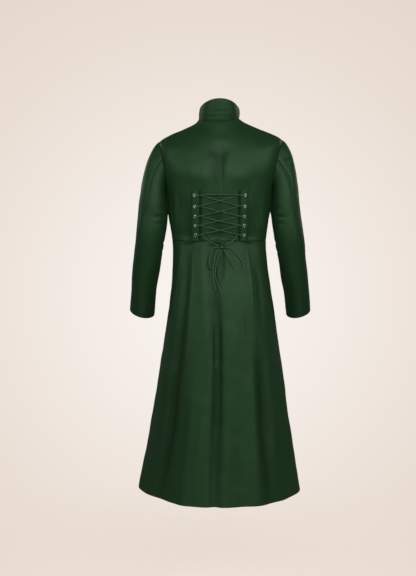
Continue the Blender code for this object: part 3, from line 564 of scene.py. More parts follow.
class CoatSizes(bpy.types.PropertyGroup):
    """Sizes that a user may change."""

    wall: FloatProperty(
        name="Cloth", description="Thickness of the coat's cloth", default=0.0018, unit="LENGTH"
    )
    collar_wall: FloatProperty(
        name="Collar", description="Thickness of the stiffened collar", default=0.0026, unit="LENGTH"
    )
    strip_wall: FloatProperty(
        name="Lacing strip", description="Thickness of a lacing strip", default=0.0020, unit="LENGTH"
    )
    seam_gap: FloatProperty(
        name="Seam gap", description="Space between two panels at a seam", default=0.0003, unit="LENGTH"
    )
    lace: FloatProperty(
        name="Lace", description="Diameter of the lace", default=0.0036, unit="LENGTH"
    )
    thread: FloatProperty(
        name="Thread", description="Diameter of the sewing thread", default=0.0006, unit="LENGTH"
    )
    stitch: FloatProperty(
        name="Stitch", description="Length of a topstitch", default=0.0026, unit="LENGTH"
    )
    stitch_pitch: FloatProperty(
        name="Stitch pitch", description="Distance from stitch to stitch", default=0.0034, unit="LENGTH"
    )
    button_sides: IntProperty(
        name="Button sides", description="Faces round a button", default=48, min=12
    )


class CoatColours(bpy.types.PropertyGroup):
    """Colours that a user may change."""

    cloth: FloatVectorProperty(
        name="Cloth", description="Green of the cloth", subtype="COLOR", default=(0.0122, 0.0430, 0.0140)
    )
    cloth_deep: FloatVectorProperty(
        name="Deep cloth", description="Green where the dye is deeper", subtype="COLOR",
        default=(0.0098, 0.0362, 0.0115),
    )
    # Painted shade: the green toward which seams, creases, the hollow between the shoulder blades and the
    # back under the strips' edges are darkened
    seam: FloatVectorProperty(
        name="Seam", description="Green down in a seam", subtype="COLOR", default=(0.0030, 0.0120, 0.0040)
    )
    lace: FloatVectorProperty(
        name="Lace", description="Green of the lace", subtype="COLOR", default=(0.046, 0.112, 0.046)
    )
    thread: FloatVectorProperty(
        name="Thread", description="Green of the thread", subtype="COLOR", default=(0.0120, 0.0390, 0.0140)
    )
    nickel: FloatVectorProperty(
        name="Nickel", description="Metal of the eyelets", subtype="COLOR", default=(0.54, 0.54, 0.52)
    )
    horn: FloatVectorProperty(
        name="Buttons", description="Dark green of the buttons", subtype="COLOR",
        default=(0.008, 0.022, 0.010),
    )
    backdrop: FloatVectorProperty(
        name="Backdrop", description="Cream at the edge of the backdrop", subtype="COLOR",
        default=(0.745, 0.625, 0.535),
    )
    backdrop_middle: FloatVectorProperty(
        name="Backdrop middle", description="Near white in the middle", subtype="COLOR",
        default=(1.000, 0.970, 0.940),
    )


class Smooth:
    """A smooth curve through rows of values, one row for each knot.

    A steady curve never swings past its own values, as a lace held by its eyelets doesn't.
    """

    def __init__(self, knots, rows, steady=False):
        self.knots = np.asarray(knots, float)
        self.rows = np.asarray(rows, float)
        steps = np.diff(self.knots)[:, None]
        rises = np.diff(self.rows, axis=0) / steps
        mix = steady_slopes if steady else even_slopes
        inner = mix(steps[:-1], steps[1:], rises[:-1], rises[1:])
        self.slopes = np.vstack([rises[:1], inner, rises[-1:]])

    def at(self, knot):
        knot = np.asarray(knot, float)
        i = np.clip(np.searchsorted(self.knots, knot) - 1, 0, len(self.knots) - 2)
        span = (self.knots[i + 1] - self.knots[i])[..., None]
        share = (knot[..., None] - self.knots[i][..., None]) / span
        return hermite(
            self.rows[i], self.slopes[i] * span, self.rows[i + 1], self.slopes[i + 1] * span, share
        )


def even_slopes(before, after, rise_before, rise_after):
    return (after * rise_before + before * rise_after) / (before + after)


def steady_slopes(before, after, rise_before, rise_after):
    weight_before, weight_after = 2 * after + before, after + 2 * before
    turning = rise_before * rise_after <= 0
    safe_before = np.where(turning, 1.0, rise_before)
    safe_after = np.where(turning, 1.0, rise_after)
    slope = (weight_before + weight_after) / (weight_before / safe_before + weight_after / safe_after)
    return np.where(turning, 0.0, slope)


def hermite(start, start_slope, end, end_slope, t):
    """The cubic from start to end that leaves and arrives along the slopes."""
    square, cube = t * t, t * t * t
    return (
        (2 * cube - 3 * square + 1) * start
        + (cube - 2 * square + t) * start_slope
        + (3 * square - 2 * cube) * end
        + (cube - square) * end_slope
    )


def ease(t):
    """From 0 to 1 with level ends."""
    t = np.clip(t, 0.0, 1.0)
    return t * t * (3 - 2 * t)


def unit(vectors):
    return vectors / np.linalg.norm(vectors, axis=-1, keepdims=True)


def stacked(*parts):
    return np.stack(np.broadcast_arrays(*parts), axis=-1)


BODY_CURVE = Smooth([ring.level for ring in BODY], BODY)
SEAM_CURVE = Smooth([row.level for row in GORE_SEAMS], GORE_SEAMS)
SLEEVE_CURVE = Smooth([ring.step for ring in SLEEVE], SLEEVE)


def rings_at(curve, kind, knots):
    """The curve's rows at these knots, with each column as an array of its own."""
    return kind(*np.moveaxis(curve.at(knots), -1, 0))


def fold_depth(level, angle):
    """How far the skirt's folds stand out at a place, or in where negative."""
    total = 0.0
    for fold in FOLDS:
        grown = ease((fold.start - level) / (fold.start - fold.full))
        apart = (angle - fold.angle + 180) % 360 - 180
        total = total + fold.depth * grown * np.exp(-((apart / fold.width) ** 2))
    return total


def body_surface(level, angle):
    """The coat's outer surface."""
    ring = rings_at(BODY_CURVE, Ring, level)
    across, along = np.sin(np.radians(angle)), np.cos(np.radians(angle))
    depth = np.where(along > 0, ring.back, ring.front)
    end_z = np.where(along > 0, ring.back_z, ring.front_z)
    power = np.abs(across / ring.half_width) ** ring.square + np.abs(along / depth) ** ring.square
    reach = power ** (-1 / ring.square) + fold_depth(level, angle)
    drop = (end_z - ring.level) * (1 - np.abs(across) ** ring.ridge)
    height = ring.level + drop + ring.tilt * reach * across
    return stacked(reach * across + ring.shift, reach * along, height)


def normals_of(surface, level, angle, ends, sign=1):
    """The outward normals, from small steps along both ways of the surface."""
    small, turn = 0.0015, 0.5
    low, high = np.maximum(level - small, ends[0]), np.minimum(level + small, ends[1])
    up = surface(high, angle) - surface(low, angle)
    around = surface(level, angle + turn) - surface(level, angle - turn)
    return unit(np.cross(up, around)) * sign


def body_normals(level, angle):
    return normals_of(body_surface, level, angle, (HEM, NECK))


def on_back(x, z, lift):
    """The points at these widths and heights over the back, lifted off the cloth."""
    x, z, lift = np.broadcast_arrays(np.asarray(x, float), z, lift)
    low, high = np.full(x.shape, -SEARCH_ANGLE), np.full(x.shape, SEARCH_ANGLE)
    for _ in range(SEARCH_HALVINGS):
        middle = (low + high) / 2
        short = body_surface(z, middle)[..., 0] < x
        low, high = np.where(short, middle, low), np.where(short, high, middle)
    return body_surface(z, low) + body_normals(z, low) * lift[..., None]


def front_level(z):
    """The level whose centre front is at this height."""
    low, high = HEM, NECK
    for _ in range(SEARCH_HALVINGS):
        middle = (low + high) / 2
        if body_surface(middle, 180)[2] < z:
            low = middle
        else:
            high = middle
    return low


def tube_surface(side, step, angle):
    """The sleeve from the bicep down; its angle turns from the inside over the back."""
    ring = rings_at(SLEEVE_CURVE, SleeveRing, step)
    after, before = SLEEVE_CURVE.at(step + SLEEVE_STEP), SLEEVE_CURVE.at(step - SLEEVE_STEP)
    way = unit(after[..., 1:4] - before[..., 1:4])
    out = unit(np.array((1.0, 0.0, 0.0)) - way[..., :1] * way)
    back = np.cross(out, way)
    swing = LEFT_SWING if side > 0 else RIGHT_SWING
    turn = np.radians(angle)
    slant = CUFF_SLANT * np.cos(turn) * ease(step - SLEEVE[-2].step)
    centre = stacked(ring.x + swing * (step - 1) / SLEEVE_REACH, ring.y, ring.z) + way * slant[..., None]
    across = (ring.half_width * np.cos(turn))[..., None] * out
    deep = (ring.half_depth * np.sin(turn))[..., None] * back
    return (centre - across + deep) * np.array((side, 1, 1))


def armhole_level(turn):
    return ARMPIT + (SHOULDER_TIP - ARMPIT) * (1 - np.cos(np.radians(turn))) / 2


def armhole_surface(side, angle):
    """The armhole's edge, a seam gap outside the body."""
    turn = angle % 360
    cut = np.where(turn <= 180, ARMHOLE_BACK, ARMHOLE_FRONT)
    level = armhole_level(np.minimum(turn, 360 - turn))
    point = body_surface(level, side * (90 - cut * np.sin(np.radians(turn))))
    return point + np.array((side * sizes().seam_gap, 0.0, 0.0))


def cap_surface(side, step, angle):
    """The sleeve head, from the armhole to the bicep."""
    one = np.ones_like(step)
    start, end = armhole_surface(side, angle), tube_surface(side, one, angle)
    length = np.linalg.norm(end - start, axis=-1, keepdims=True)
    over = ((1 - np.cos(np.radians(angle))) / 2)[..., None]
    leave = unit((UNDERARM_START + (SHOULDER_START - UNDERARM_START) * over) * np.array((side, 1, 1)))
    arrive = unit(tube_surface(side, (1 + 2 * SLEEVE_STEP) * one, angle) - end)
    return hermite(start, leave * length * CAP_FULLNESS, end, arrive * length, step[..., None])


def sleeve_surface(side):
    """The outer surface of one sleeve: side is 1 for the left and -1 for the right."""

    def surface(step, angle):
        step, angle = np.broadcast_arrays(np.asarray(step, float), np.asarray(angle, float))
        head = cap_surface(side, np.clip(step, 0, 1), angle)
        tube = tube_surface(side, np.maximum(step, 1), angle)
        return np.where((step < 1)[..., None], head, tube)

    return surface


def elbow_angle(step):
    head = CAP_ELBOW + (SLEEVE[0].elbow - CAP_ELBOW) * step
    return np.where(step < 1, head, rings_at(SLEEVE_CURVE, SleeveRing, np.maximum(step, 1)).elbow)


def collar_surface(rise, angle):
    """The stand collar, from the neckline (0) to its top edge (1); below 0 it tucks in."""
    across, along = np.sin(np.radians(angle)), np.cos(np.radians(angle))
    depth = np.where(along > 0, COLLAR_BACK, COLLAR_FRONT)
    end_top = np.where(along > 0, COLLAR_BACK_TOP, COLLAR_FRONT_TOP)
    reach = 1 / np.sqrt((across / COLLAR_HALF_WIDTH) ** 2 + (along / depth) ** 2)
    top_z = COLLAR_SIDE_TOP + (end_top - COLLAR_SIDE_TOP) * (1 - across**2)
    top = stacked(reach * across, reach * along, top_z)
    base = body_surface(np.full_like(angle, NECK), angle) + np.array((0, 0, sizes().seam_gap))
    corner = np.clip(
        (np.abs(angle) - COLLAR_CORNER_START) / (COLLAR_END - COLLAR_CORNER_START), 0, 1
    )
    rise = (rise * (1 - COLLAR_CORNER_DROP * (1 - np.sqrt(1 - corner**2))))[..., None]
    bulge = COLLAR_BULGE * np.sin(pi * np.maximum(rise, 0)) - COLLAR_TUCK * ease(-rise / COLLAR_SINK)
    return base + (top - base) * rise + stacked(across, along, 0) * bulge


def sizes():
    return bpy.context.scene.coat_sizes


def colours():
    return bpy.context.scene.coat_colours


def walked(points, axis=0):
    """The distance walked to each point along one way of a grid."""
    steps = np.linalg.norm(np.diff(points, axis=axis), axis=-1)
    start = np.zeros_like(np.take(steps, [0], axis=axis))
    return np.concatenate([start, np.cumsum(steps, axis=axis)], axis=axis)


def edge_shares(length, count):
    """Shares from 0 to 1, closer together beside both ends."""
    near = EDGE_STEPS / length
    middle = np.linspace(near[-1], 1 - near[-1], count)
    return np.concatenate([near[:-1], middle, 1 - near[-2::-1]])


def row_levels(surface, low, high, angle, spacing=POINT_SPACING):
    """Levels that lie evenly along the surface at one angle."""
    fine = np.linspace(low, high, FINE_POINTS)
    way = walked(surface(fine, np.full_like(fine, angle)))
    shares = edge_shares(way[-1], max(3, round(way[-1] / spacing)))
    return np.interp(shares * way[-1], way, fine)


def panel_places(surface, levels, starts, ends, spacing=POINT_SPACING):
    """Levels and angles of a panel's points, evenly spaced between its two sides."""
    coarse = starts[:, None] + (ends - starts)[:, None] * np.linspace(0, 1, COARSE_POINTS)
    tall = np.broadcast_to(levels[:, None], coarse.shape)
    widths = walked(surface(tall, coarse), axis=1)[:, -1]
    count = max(4, round(widths.max() / spacing))
    shares = np.array([edge_shares(width, count) for width in widths])
    angles = starts[:, None] + (ends - starts)[:, None] * shares
    return np.broadcast_to(levels[:, None], angles.shape), angles


def crease_heights(points, surface, creases):
    """How far the creases move each point out, or in where negative."""
    total = np.zeros(points.shape[:-1])
    t = np.linspace(0, 1, CREASE_POINTS)
    for crease in creases:
        start, middle, end = (np.array(place) for place in crease[:3])
        bend = 2 * middle - (start + end) / 2
        way = ((1 - t) ** 2)[:, None] * start + (2 * t * (1 - t))[:, None] * bend + (t**2)[:, None] * end
        line = surface(way[:, 0], way[:, 1])
        reach = CREASE_REACH * max(crease.width, crease.end_width)
        near = np.all(
            (points > line.min(axis=0) - reach) & (points < line.max(axis=0) + reach), axis=-1
        )
        apart, share = nearest(points[near], line)
        across = (apart / (crease.width + (crease.end_width - crease.width) * share)) ** 2
        total[near] += crease.depth * (1 - across / 2) * np.exp(-across) * np.sin(pi * share)
    return total


def nearest(points, line):
    """Each point's distance to a line of points, and the share of the line where it is nearest."""
    best = np.full(len(points), np.inf)
    share = np.zeros(len(points))
    for i, (a, b) in enumerate(zip(line, line[1:])):
        way = b - a
        along = np.clip((points - a) @ way / (way @ way), 0, 1)
        apart = np.linalg.norm(points - a - along[:, None] * way, axis=1)
        closer = apart < best
        best = np.where(closer, apart, best)
        share = np.where(closer, (i + along) / (len(line) - 1), share)
    return best, share


def ripple_heights(points):
    total = 0.0
    for i, ripple in enumerate(RIPPLES):
        way = np.array(ripple.way)
        phase = points @ unit(way) * 2 * pi / ripple.length
        sway = points @ np.roll(way, 1) * 2 * pi / (SWAY_LENGTH * ripple.length)
        total = total + ripple.height * np.sin(phase + SWAY * np.sin(sway + i))
    return total


def edge_distances(points):
    """Each point's distance to the four edges of its grid."""
    up, around = walked(points, 0), walked(points, 1)
    return Edges(up, up[-1:] - up, around, around[:, -1:] - around)


def panel_mesh(name, outer, inner, edges, flip, painted_shade):
    """A closed wall between two grids, whose folded edges are round and whose seams are flat."""
    rows, columns = outer.shape[:2]
    count = rows * columns
    index = np.arange(count).reshape(rows, columns)
    quads = np.stack([index[:-1, :-1], index[1:, :-1], index[1:, 1:], index[:-1, 1:]], axis=-1)
    quads = quads.reshape(-1, 4)
    low = [(0, c) for c in range(columns)]
    last = [(r, columns - 1) for r in range(1, rows)]
    high = [(rows - 1, c) for c in range(columns - 2, -1, -1)]
    first = [(r, 0) for r in range(rows - 2, 0, -1)]
    rim = np.array(low + last + high + first)
    bulges = [edges.low == "folded"] * len(low) + [edges.last == "folded"] * len(last)
    bulges += [edges.high == "folded"] * len(high) + [edges.first == "folded"] * len(first)
    inward = np.clip(rim, (1, 1), (rows - 2, columns - 2))
    out_points, in_points = outer[tuple(rim.T)], inner[tuple(rim.T)]
    way = unit(out_points - outer[tuple(inward.T)])
    wall = np.linalg.norm(out_points - in_points, axis=1, keepdims=True)
    middle = (out_points + in_points) / 2 + way * wall * RIM_BULGE * np.array(bulges)[:, None]
    front = index[tuple(rim.T)]
    centre = 2 * count + np.arange(len(rim))
    back = front + count
    sides = [
        np.stack([a, np.roll(a, -1), np.roll(b, -1), b], axis=-1)
        for a, b in ((front, centre), (centre, back))
    ]
    faces = np.concatenate([quads, quads[:, ::-1] + count, *sides])
    if flip:
        faces = faces[:, ::-1]
    mesh = bpy.data.meshes.new(name)
    vertices = np.concatenate([outer.reshape(-1, 3), inner.reshape(-1, 3), middle])
    mesh.from_pydata(vertices.tolist(), [], faces.tolist())
    around, up = walked(outer, 1), walked(outer, 0)
    flat = stacked(around - around[:, columns // 2, None], up).reshape(-1, 2)
    add_uv(mesh, np.concatenate([flat, flat, flat[front]]))
    # Painted shade for each point, kept in the seam attribute
    shade = np.concatenate([painted_shade.ravel(), np.zeros(count), painted_shade[tuple(rim.T)]])
    layer = mesh.attributes.new("seam", "FLOAT", "POINT")
    layer.data.foreach_set("value", shade.astype(np.float32))
    mesh.shade_smooth()
    return mesh


def add_uv(mesh, places):
    corners = np.zeros(len(mesh.loops), dtype=np.int32)
    mesh.loops.foreach_get("vertex_index", corners)
    layer = mesh.uv_layers.new(name="cloth")
    layer.data.foreach_set("uv", places[corners].astype(np.float32).ravel())


def add_object(name, data, material):
    made = bpy.data.objects.new(name, data)
    bpy.context.scene.collection.objects.link(made)
    data.materials.clear()
    data.materials.append(material)
    return made


def finish_piece(made, slot, *nodes):
    """Sets a piece on the coat, in place of the nodes that it stands for."""
    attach(made, BODY_NAME)
    if nodes:
        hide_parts(*nodes)
    return made


class Nodes:
    """Puts a node tree together, one node at a time."""

    def __init__(self, tree):
        self.tree = tree

    def node(self, kind, inputs=None, **values):
        """Adds a node; an input is a number, a colour or another node's output."""
        made = self.tree.nodes.new(kind)
        for name, value in values.items():
            setattr(made, name, value)
        for name, value in (inputs or {}).items():
            if isinstance(value, bpy.types.NodeSocket):
                self.tree.links.new(value, made.inputs[name])
            else:
                made.inputs[name].default_value = value
        return made


class Finish(Nodes):
    """A material with its principled shader."""

    def __init__(self, name, **sockets):
        self.material = bpy.data.materials.new(name)
        self.material.use_nodes = True
        super().__init__(self.material.node_tree)
        self.shader = self.tree.nodes["Principled BSDF"]
        for label, value in sockets.items():
            self.set(label.replace("_", " "), value)

    def set(self, label, value):
        if isinstance(value, bpy.types.NodeSocket):
            self.tree.links.new(value, self.shader.inputs[label])
        else:
            self.shader.inputs[label].default_value = value

    def noise(self, place, scale, detail=3.0, stretch=(1, 1, 1)):
        """Cloudy values; a stretch over 1 squeezes them along an axis."""
        moved = self.node("ShaderNodeMapping", {"Vector": place, "Scale": stretch})
        made = self.node(
            "ShaderNodeTexNoise", {"Vector": moved.outputs[0], "Scale": scale, "Detail": detail}
        )
        return made.outputs["Fac"]

    def math(self, operation, first, second):
        return self.node("ShaderNodeMath", {0: first, 1: second}, operation=operation).outputs[0]

    def between(self, share, low, high):
        """Turns values from 0 to 1 into values from low to high."""
        made = self.node("ShaderNodeMapRange", {"Value": share, "To Min": low, "To Max": high})
        return made.outputs["Result"]

    def blend(self, share, first, second):
        """A colour between two others."""
        made = self.node("ShaderNodeMix", {0: share}, data_type="RGBA")
        for socket, value in ((made.inputs[6], first), (made.inputs[7], second)):
            if isinstance(value, bpy.types.NodeSocket):
                self.tree.links.new(value, socket)
            else:
                socket.default_value = (*value, 1)
        return made.outputs[2]

    def bump(self, height, distance, strength, under=None):
        inputs = {"Height": height, "Distance": distance, "Strength": strength}
        if under:
            inputs["Normal"] = under
        return self.node("ShaderNodeBump", inputs).outputs[0]

    def places(self):
        return self.node("ShaderNodeTexCoord").outputs["Object"]

    def map_of_cloth(self):
        return self.node("ShaderNodeUVMap", uv_map="cloth").outputs[0]

    def bands(self, place, spacing, way):
        """Even waves, one for each spacing in metres, along X or Y."""
        inputs = {"Vector": place, "Scale": pi / (10 * spacing)}
        made = self.node("ShaderNodeTexWave", inputs, bands_direction=way, wave_profile="SIN")
        return made.outputs["Fac"]


def toned(colour, share=1.0):
    """A colour, darker where the share is under 1 and lighter over it."""
    return tuple(share * part for part in colour)


@cache
def cloth_material():
    """Green satin-faced cloth: fine weave, faint slubs, and painted shade, from the seam attribute, down in
    the seams and creases, in the hollow between the shoulder blades and under the strips' edges.
    """
    cloth = Finish("green_satin", Sheen_Weight=0.02, Sheen_Roughness=0.5, Specular_IOR_Level=0.26)
    cloth.set("Sheen Tint", (0.55, 0.75, 0.55, 1))
    cloth.set("Specular Tint", GREEN_GLOSS)
    place, flat = cloth.places(), cloth.map_of_cloth()
    # The seam attribute carries the painted shade of seams, creases, the blades' hollow and the strips' edges
    seam = cloth.node("ShaderNodeAttribute", attribute_name="seam").outputs["Fac"]
    clouds = cloth.noise(place, 7.0)
    slubs = cloth.noise(flat, 60.0, 2.0, (1, 7, 1))
    green = cloth.blend(clouds, toned(colours().cloth_deep), toned(colours().cloth))
    green = cloth.blend(cloth.math("MULTIPLY", slubs, 0.25), green, toned(colours().cloth_deep))
    cloth.set("Base Color", cloth.blend(seam, green, toned(colours().seam)))
    cloth.set("Roughness", cloth.between(cloth.noise(place, 18.0), 0.42, 0.50))
    warp, weft = cloth.bands(flat, WEAVE, "X"), cloth.bands(flat, WEAVE * 1.4, "Y")
    weave = cloth.math("MULTIPLY", warp, weft)
    soft = cloth.bump(cloth.noise(place, 26.0, 2.0, (1.4, 1.4, 0.6)), 0.0012, 0.35)
    cloth.set("Normal", cloth.bump(weave, WEAVE / 6, 0.35, soft))
    return cloth.material


@cache
def lace_material():
    """Braided cord: strands that cross on a slant, with shade painted in the grooves between them and a
    little random unevenness.
    """
    lace = Finish("green_braid", Roughness=0.42, Sheen_Weight=0.04, Specular_IOR_Level=0.45)
    lace.set("Specular Tint", GREEN_GLOSS)
    flat = lace.map_of_cloth()
    strands = []
    for lean in (BRAID_LEAN, -BRAID_LEAN):
        turned = lace.node("ShaderNodeMapping", {"Vector": flat, "Rotation": (0, 0, lean)}).outputs[0]
        strands.append(lace.bands(turned, BRAID, "X"))
    braid = lace.math("MAXIMUM", *strands)
    # Painted shade: the lace's green on the strands' crests and 0.45 of it down in the grooves between them,
    # with random unevenness
    light, dark = toned(colours().lace), toned(colours().lace, 0.45)
    fuzz = lace.noise(flat, 900.0)
    strand_shade_and_wear = lace.math("MULTIPLY", braid, lace.between(fuzz, 0.7, 1.1))
    lace.set("Base Color", lace.blend(strand_shade_and_wear, dark, light))
    lace.set("Normal", lace.bump(braid, 0.0003, 0.9))
    return lace.material


@cache
def thread_material():
    """Sewing thread in the cloth's green."""
    thread = Finish("green_thread", Roughness=0.5, Sheen_Weight=0.2, Specular_IOR_Level=0.4)
    twist = thread.noise(thread.places(), 1400.0)
    dark, light = toned(colours().thread, 0.7), toned(colours().thread, 1.3)
    thread.set("Base Color", thread.blend(twist, dark, light))
    thread.set("Normal", thread.bump(twist, 0.0002, 0.5))
    return thread.material


@cache
def nickel_material():
    """Polished nickel with fine handling marks."""
    nickel = Finish("polished_nickel", Metallic=1.0)
    place = nickel.places()
    marks = nickel.noise(place, 1600.0, 4.0)
    dull = toned(colours().nickel, 0.72)
    nickel.set("Base Color", nickel.blend(nickel.noise(place, 300.0), toned(colours().nickel), dull))
    nickel.set("Roughness", nickel.between(marks, 0.18, 0.34))
    nickel.set("Normal", nickel.bump(marks, 0.00005, 0.3))
    return nickel.material


@cache
def horn_material():
    """Dark green moulded horn with soft clouds and a gloss dulled in places by wear."""
    horn = Finish("dark_green_horn", Specular_IOR_Level=0.5, Coat_Weight=0.2, Coat_Roughness=0.25)
    place = horn.places()
    clouds = horn.noise(place, 160.0, 4.0, (1, 1, 0.4))
    light = toned(colours().horn, 2.4)
    horn.set("Base Color", horn.blend(clouds, toned(colours().horn), light))
    horn.set("Roughness", horn.between(horn.noise(place, 700.0), 0.28, 0.46))
    horn.set("Normal", horn.bump(clouds, 0.0002, 0.2))
    return horn.material


@cache
def floor_material():
    """Pale paper that fades out away from the coat."""
    floor = Finish("pale_floor", Roughness=0.8, Specular_IOR_Level=0.2)
    place = floor.places()
    paper = floor.noise(place, 40.0)
    pale, edge = toned(colours().backdrop_middle), toned(colours().backdrop)
    floor.set("Base Color", floor.blend(floor.math("MULTIPLY", paper, 0.6), edge, pale))
    floor.set("Emission Color", (*edge, 1))
    floor.set("Emission Strength", FLOOR_GLOW)
    away = floor.node("ShaderNodeVectorMath", {0: place}, operation="LENGTH").outputs["Value"]
    fade = floor.node(
        "ShaderNodeMapRange",
        {
            "Value": away,
            "From Min": FLOOR_FADE,
            "From Max": FLOOR_RADIUS,
            "To Min": FLOOR_SHARE,
            "To Max": 0.0,
        },
        interpolation_type="SMOOTHSTEP",
    )
    floor.set("Alpha", fade.outputs["Result"])
    return floor.material


CLOTHS = {}


def add_cloth(
    node, surface, places, ends, edges, creased, wall=None, sign=1,
    pressed=False, shaded=None,
):
    """A panel of cloth over a grid of places, in the place of its plain solid.

    Its creases are a surface and the list of creases on it. A pressed panel shows a second line
    beside its elbow seam; shaded gives the shade painted on each of its points besides.
    """
    level, angle = places
    wall = wall or sizes().wall
    base = surface(level, angle)
    normals = normals_of(surface, level, angle, ends, sign)
    folds = crease_heights(base, *creased)
    form = folds + ripple_heights(base)
    roll = np.zeros(base.shape[:2])
    # Painted shade down in the creases
    shade = CREASE_SHADE * ease(-folds / CREASE_DEEP)
    if shaded:
        shade = np.maximum(shade, shaded(base))
    for name, apart in zip(edges, edge_distances(base)):
        kind = EDGE_KINDS[name]
        roll = np.maximum(roll, kind.roll * np.clip(1 - apart / kind.reach, 0, 1) ** 2)
        shade = np.maximum(shade, kind.shade * np.clip(1 - apart / SEAM_SHADE_REACH, 0, 1))
        if kind.fade:
            form = form * ease(apart / kind.fade)
        if name == "elbow" and pressed:
            line = np.exp(-(((apart - PRESS_INSET) / PRESS_WIDTH) ** 2))
            roll = np.maximum(roll, PRESS_DEPTH * line)
            shade = np.maximum(shade, PRESS_SHADE * line)
    middle = base + normals * form[..., None]
    outer = middle - normals * roll[..., None]
    inner = middle - normals * wall
    mesh = panel_mesh(node, outer, inner, edges, sign < 0, shade)
    made = add_object(node + "_cloth", mesh, cloth_material())
    finish_piece(made, "cloth", node)
    around, up = walked(outer, 1)[:, -1], walked(outer, 0)[-1]
    CLOTHS[node] = Cloth(outer, normals)


def mirrored(creases):
    """Like creases for the other side, moved a little so that the two sides differ."""
    made = []
    for i, crease in enumerate(creases):
        places = [Place(p.level - MIRROR_DROP * (i % 2), -p.angle - MIRROR_TURN) for p in crease[:3]]
        made.append(Crease(*places, crease.width, crease.end_width, MIRROR_SHARE * crease.depth))
    return tuple(made)


BODY_CREASES = BACK_CREASES + SKIRT_CREASES + FRONT_CREASES + mirrored(FRONT_CREASES)


def bodice_rows():
    """Levels and armhole cuts of the bodice's rows, from the waist to the neck."""
    side = row_levels(body_surface, WAIST, ARMPIT, SIDE_ROW_ANGLE)
    turns = np.linspace(0, 180, ARMHOLE_ROWS)[1:-1]
    shoulder = row_levels(body_surface, SHOULDER_TIP, NECK, SHOULDER_ROW_ANGLE)
    levels = np.concatenate([side, armhole_level(turns), shoulder])
    cuts = np.concatenate([0 * side, np.sin(np.radians(turns)), 0 * shoulder])
    return levels, cuts


def sunk_front(level, angle):
    """The left front, which runs just under the right one near the centre."""
    point = body_surface(level, angle)
    depth = 1 - ease((point[..., 0] - LAP - LAP_EASE_START) / LAP_EASE)
    return point - body_normals(level, angle) * (LAP_SUNK * depth)[..., None]


def right_front(level, angle):
    return body_surface(level, -angle)


def add_fronts(name, levels, starts, edges):
    """The left and right fronts, from the side seam past the centre by the lap."""
    lap = np.degrees(LAP / rings_at(BODY_CURVE, Ring, levels).front)
    creased = (body_surface, BODY_CREASES)
    for side, surface, sign in (("left", sunk_front, 1), ("right", right_front, -1)):
        places = panel_places(surface, levels, starts, 180 + lap)
        add_cloth(
            f"{name}_{side}", surface, places, (HEM, NECK), edges, creased,
            sign=sign,
        )


def strip_shade(points):
    """The shadow painted on the back where it goes in under a lacing strip's inner edge."""
    apart = np.abs(points[..., 0]) - STRIP_INNER + STRIP_EDGE_REACH / 2
    z = points[..., 2]
    along = ease((z - STRIP_BOTTOM) / POINT_SPACING) * ease((STRIP_TOP - z) / POINT_SPACING)
    on_this_side = points[..., 1] > 0
    return STRIP_EDGE_SHADE * np.exp(-((apart / STRIP_EDGE_REACH) ** 2)) * along * on_this_side


def hollow_shade(points):
    """The shade painted on the back in the hollow between its shoulder blades."""
    x, y, z = np.moveaxis(points, -1, 0)
    down = np.clip((HOLLOW_TOP - z) / (HOLLOW_TOP - HOLLOW_BOTTOM), 0, 1)
    across = ease((HOLLOW_HALF_WIDTH * (1 - down) - np.abs(x)) / HOLLOW_EDGE + 0.5)
    along = ease((HOLLOW_TOP - z) / HOLLOW_TOP_EDGE + 0.5) * (1 - down) ** 0.5
    return HOLLOW_SHADE * across * along * (y > 0)


# Painted shade on the back: the shadow under the strips' edges and the shade in the hollow between the blades
def back_shade(points):
    return np.maximum(strip_shade(points), hollow_shade(points))


def add_bodice():
    levels, cuts = bodice_rows()
    edge = 90 - ARMHOLE_BACK * cuts
    places = panel_places(body_surface, levels, -edge, edge)
    add_cloth(
        "bodice_back", body_surface, places, (HEM, NECK), Edges("waist", "set", "set", "set"),
        (body_surface, BODY_CREASES), shaded=back_shade,
    )
    edges = Edges("waist", "set", "set", "folded")
    add_fronts("bodice_front", levels, 90 + ARMHOLE_FRONT * cuts, edges)


def add_skirt():
    levels = row_levels(body_surface, HEM, WAIST, SKIRT_ROW_ANGLE)
    seams = rings_at(SEAM_CURVE, GoreSeams, levels)
    side = np.full_like(levels, 90.0)
    for name, starts, ends in (
        ("skirt_side_back_left", seams.left, side),
        ("skirt_back_left", seams.centre, seams.left),
        ("skirt_back_right", seams.right, seams.centre),
        ("skirt_side_back_right", -side, seams.right),
    ):
        places = panel_places(body_surface, levels, starts, ends)
        add_cloth(
            name, body_surface, places, (HEM, WAIST), Edges("folded", "waist", "gore", "gore"),
            (body_surface, BODY_CREASES),
        )
    edges = Edges("folded", "waist", "gore", "folded")
    add_fronts("skirt_front", levels, side, edges)


def add_sleeve(side, name):
    surface = sleeve_surface(side)
    top = SLEEVE[-1].step
    steps = row_levels(surface, 0, top, SLEEVE_ROW_ANGLE)
    front = CAP_FRONT_SEAM + (CUFF_FRONT_SEAM - CAP_FRONT_SEAM) * steps / top
    elbow = elbow_angle(steps)
    creases = SLEEVE_CREASES if side > 0 else SLEEVE_CREASES + RIGHT_HEAD_CREASES
    for kind, starts, ends, first, last in (
        ("under", front, elbow, "gore", "elbow"),
        ("upper", elbow, front + 360, "elbow", "gore"),
    ):
        add_cloth(
            f"sleeve_{kind}_{name}", surface, panel_places(surface, steps, starts, ends), (0, top),
            Edges("set", "folded", first, last), (surface, creases),
            sign=-side, pressed=kind == "under",
        )


def add_sleeves():
    add_sleeve(1, "left")
    add_sleeve(-1, "right")


def add_collar():
    add_cloth(
        "collar", collar_surface, collar_places(), (-COLLAR_SINK, 1),
        Edges("set", "folded", "folded", "folded"), (collar_surface, COLLAR_CREASES),
        wall=sizes().collar_wall,
    )


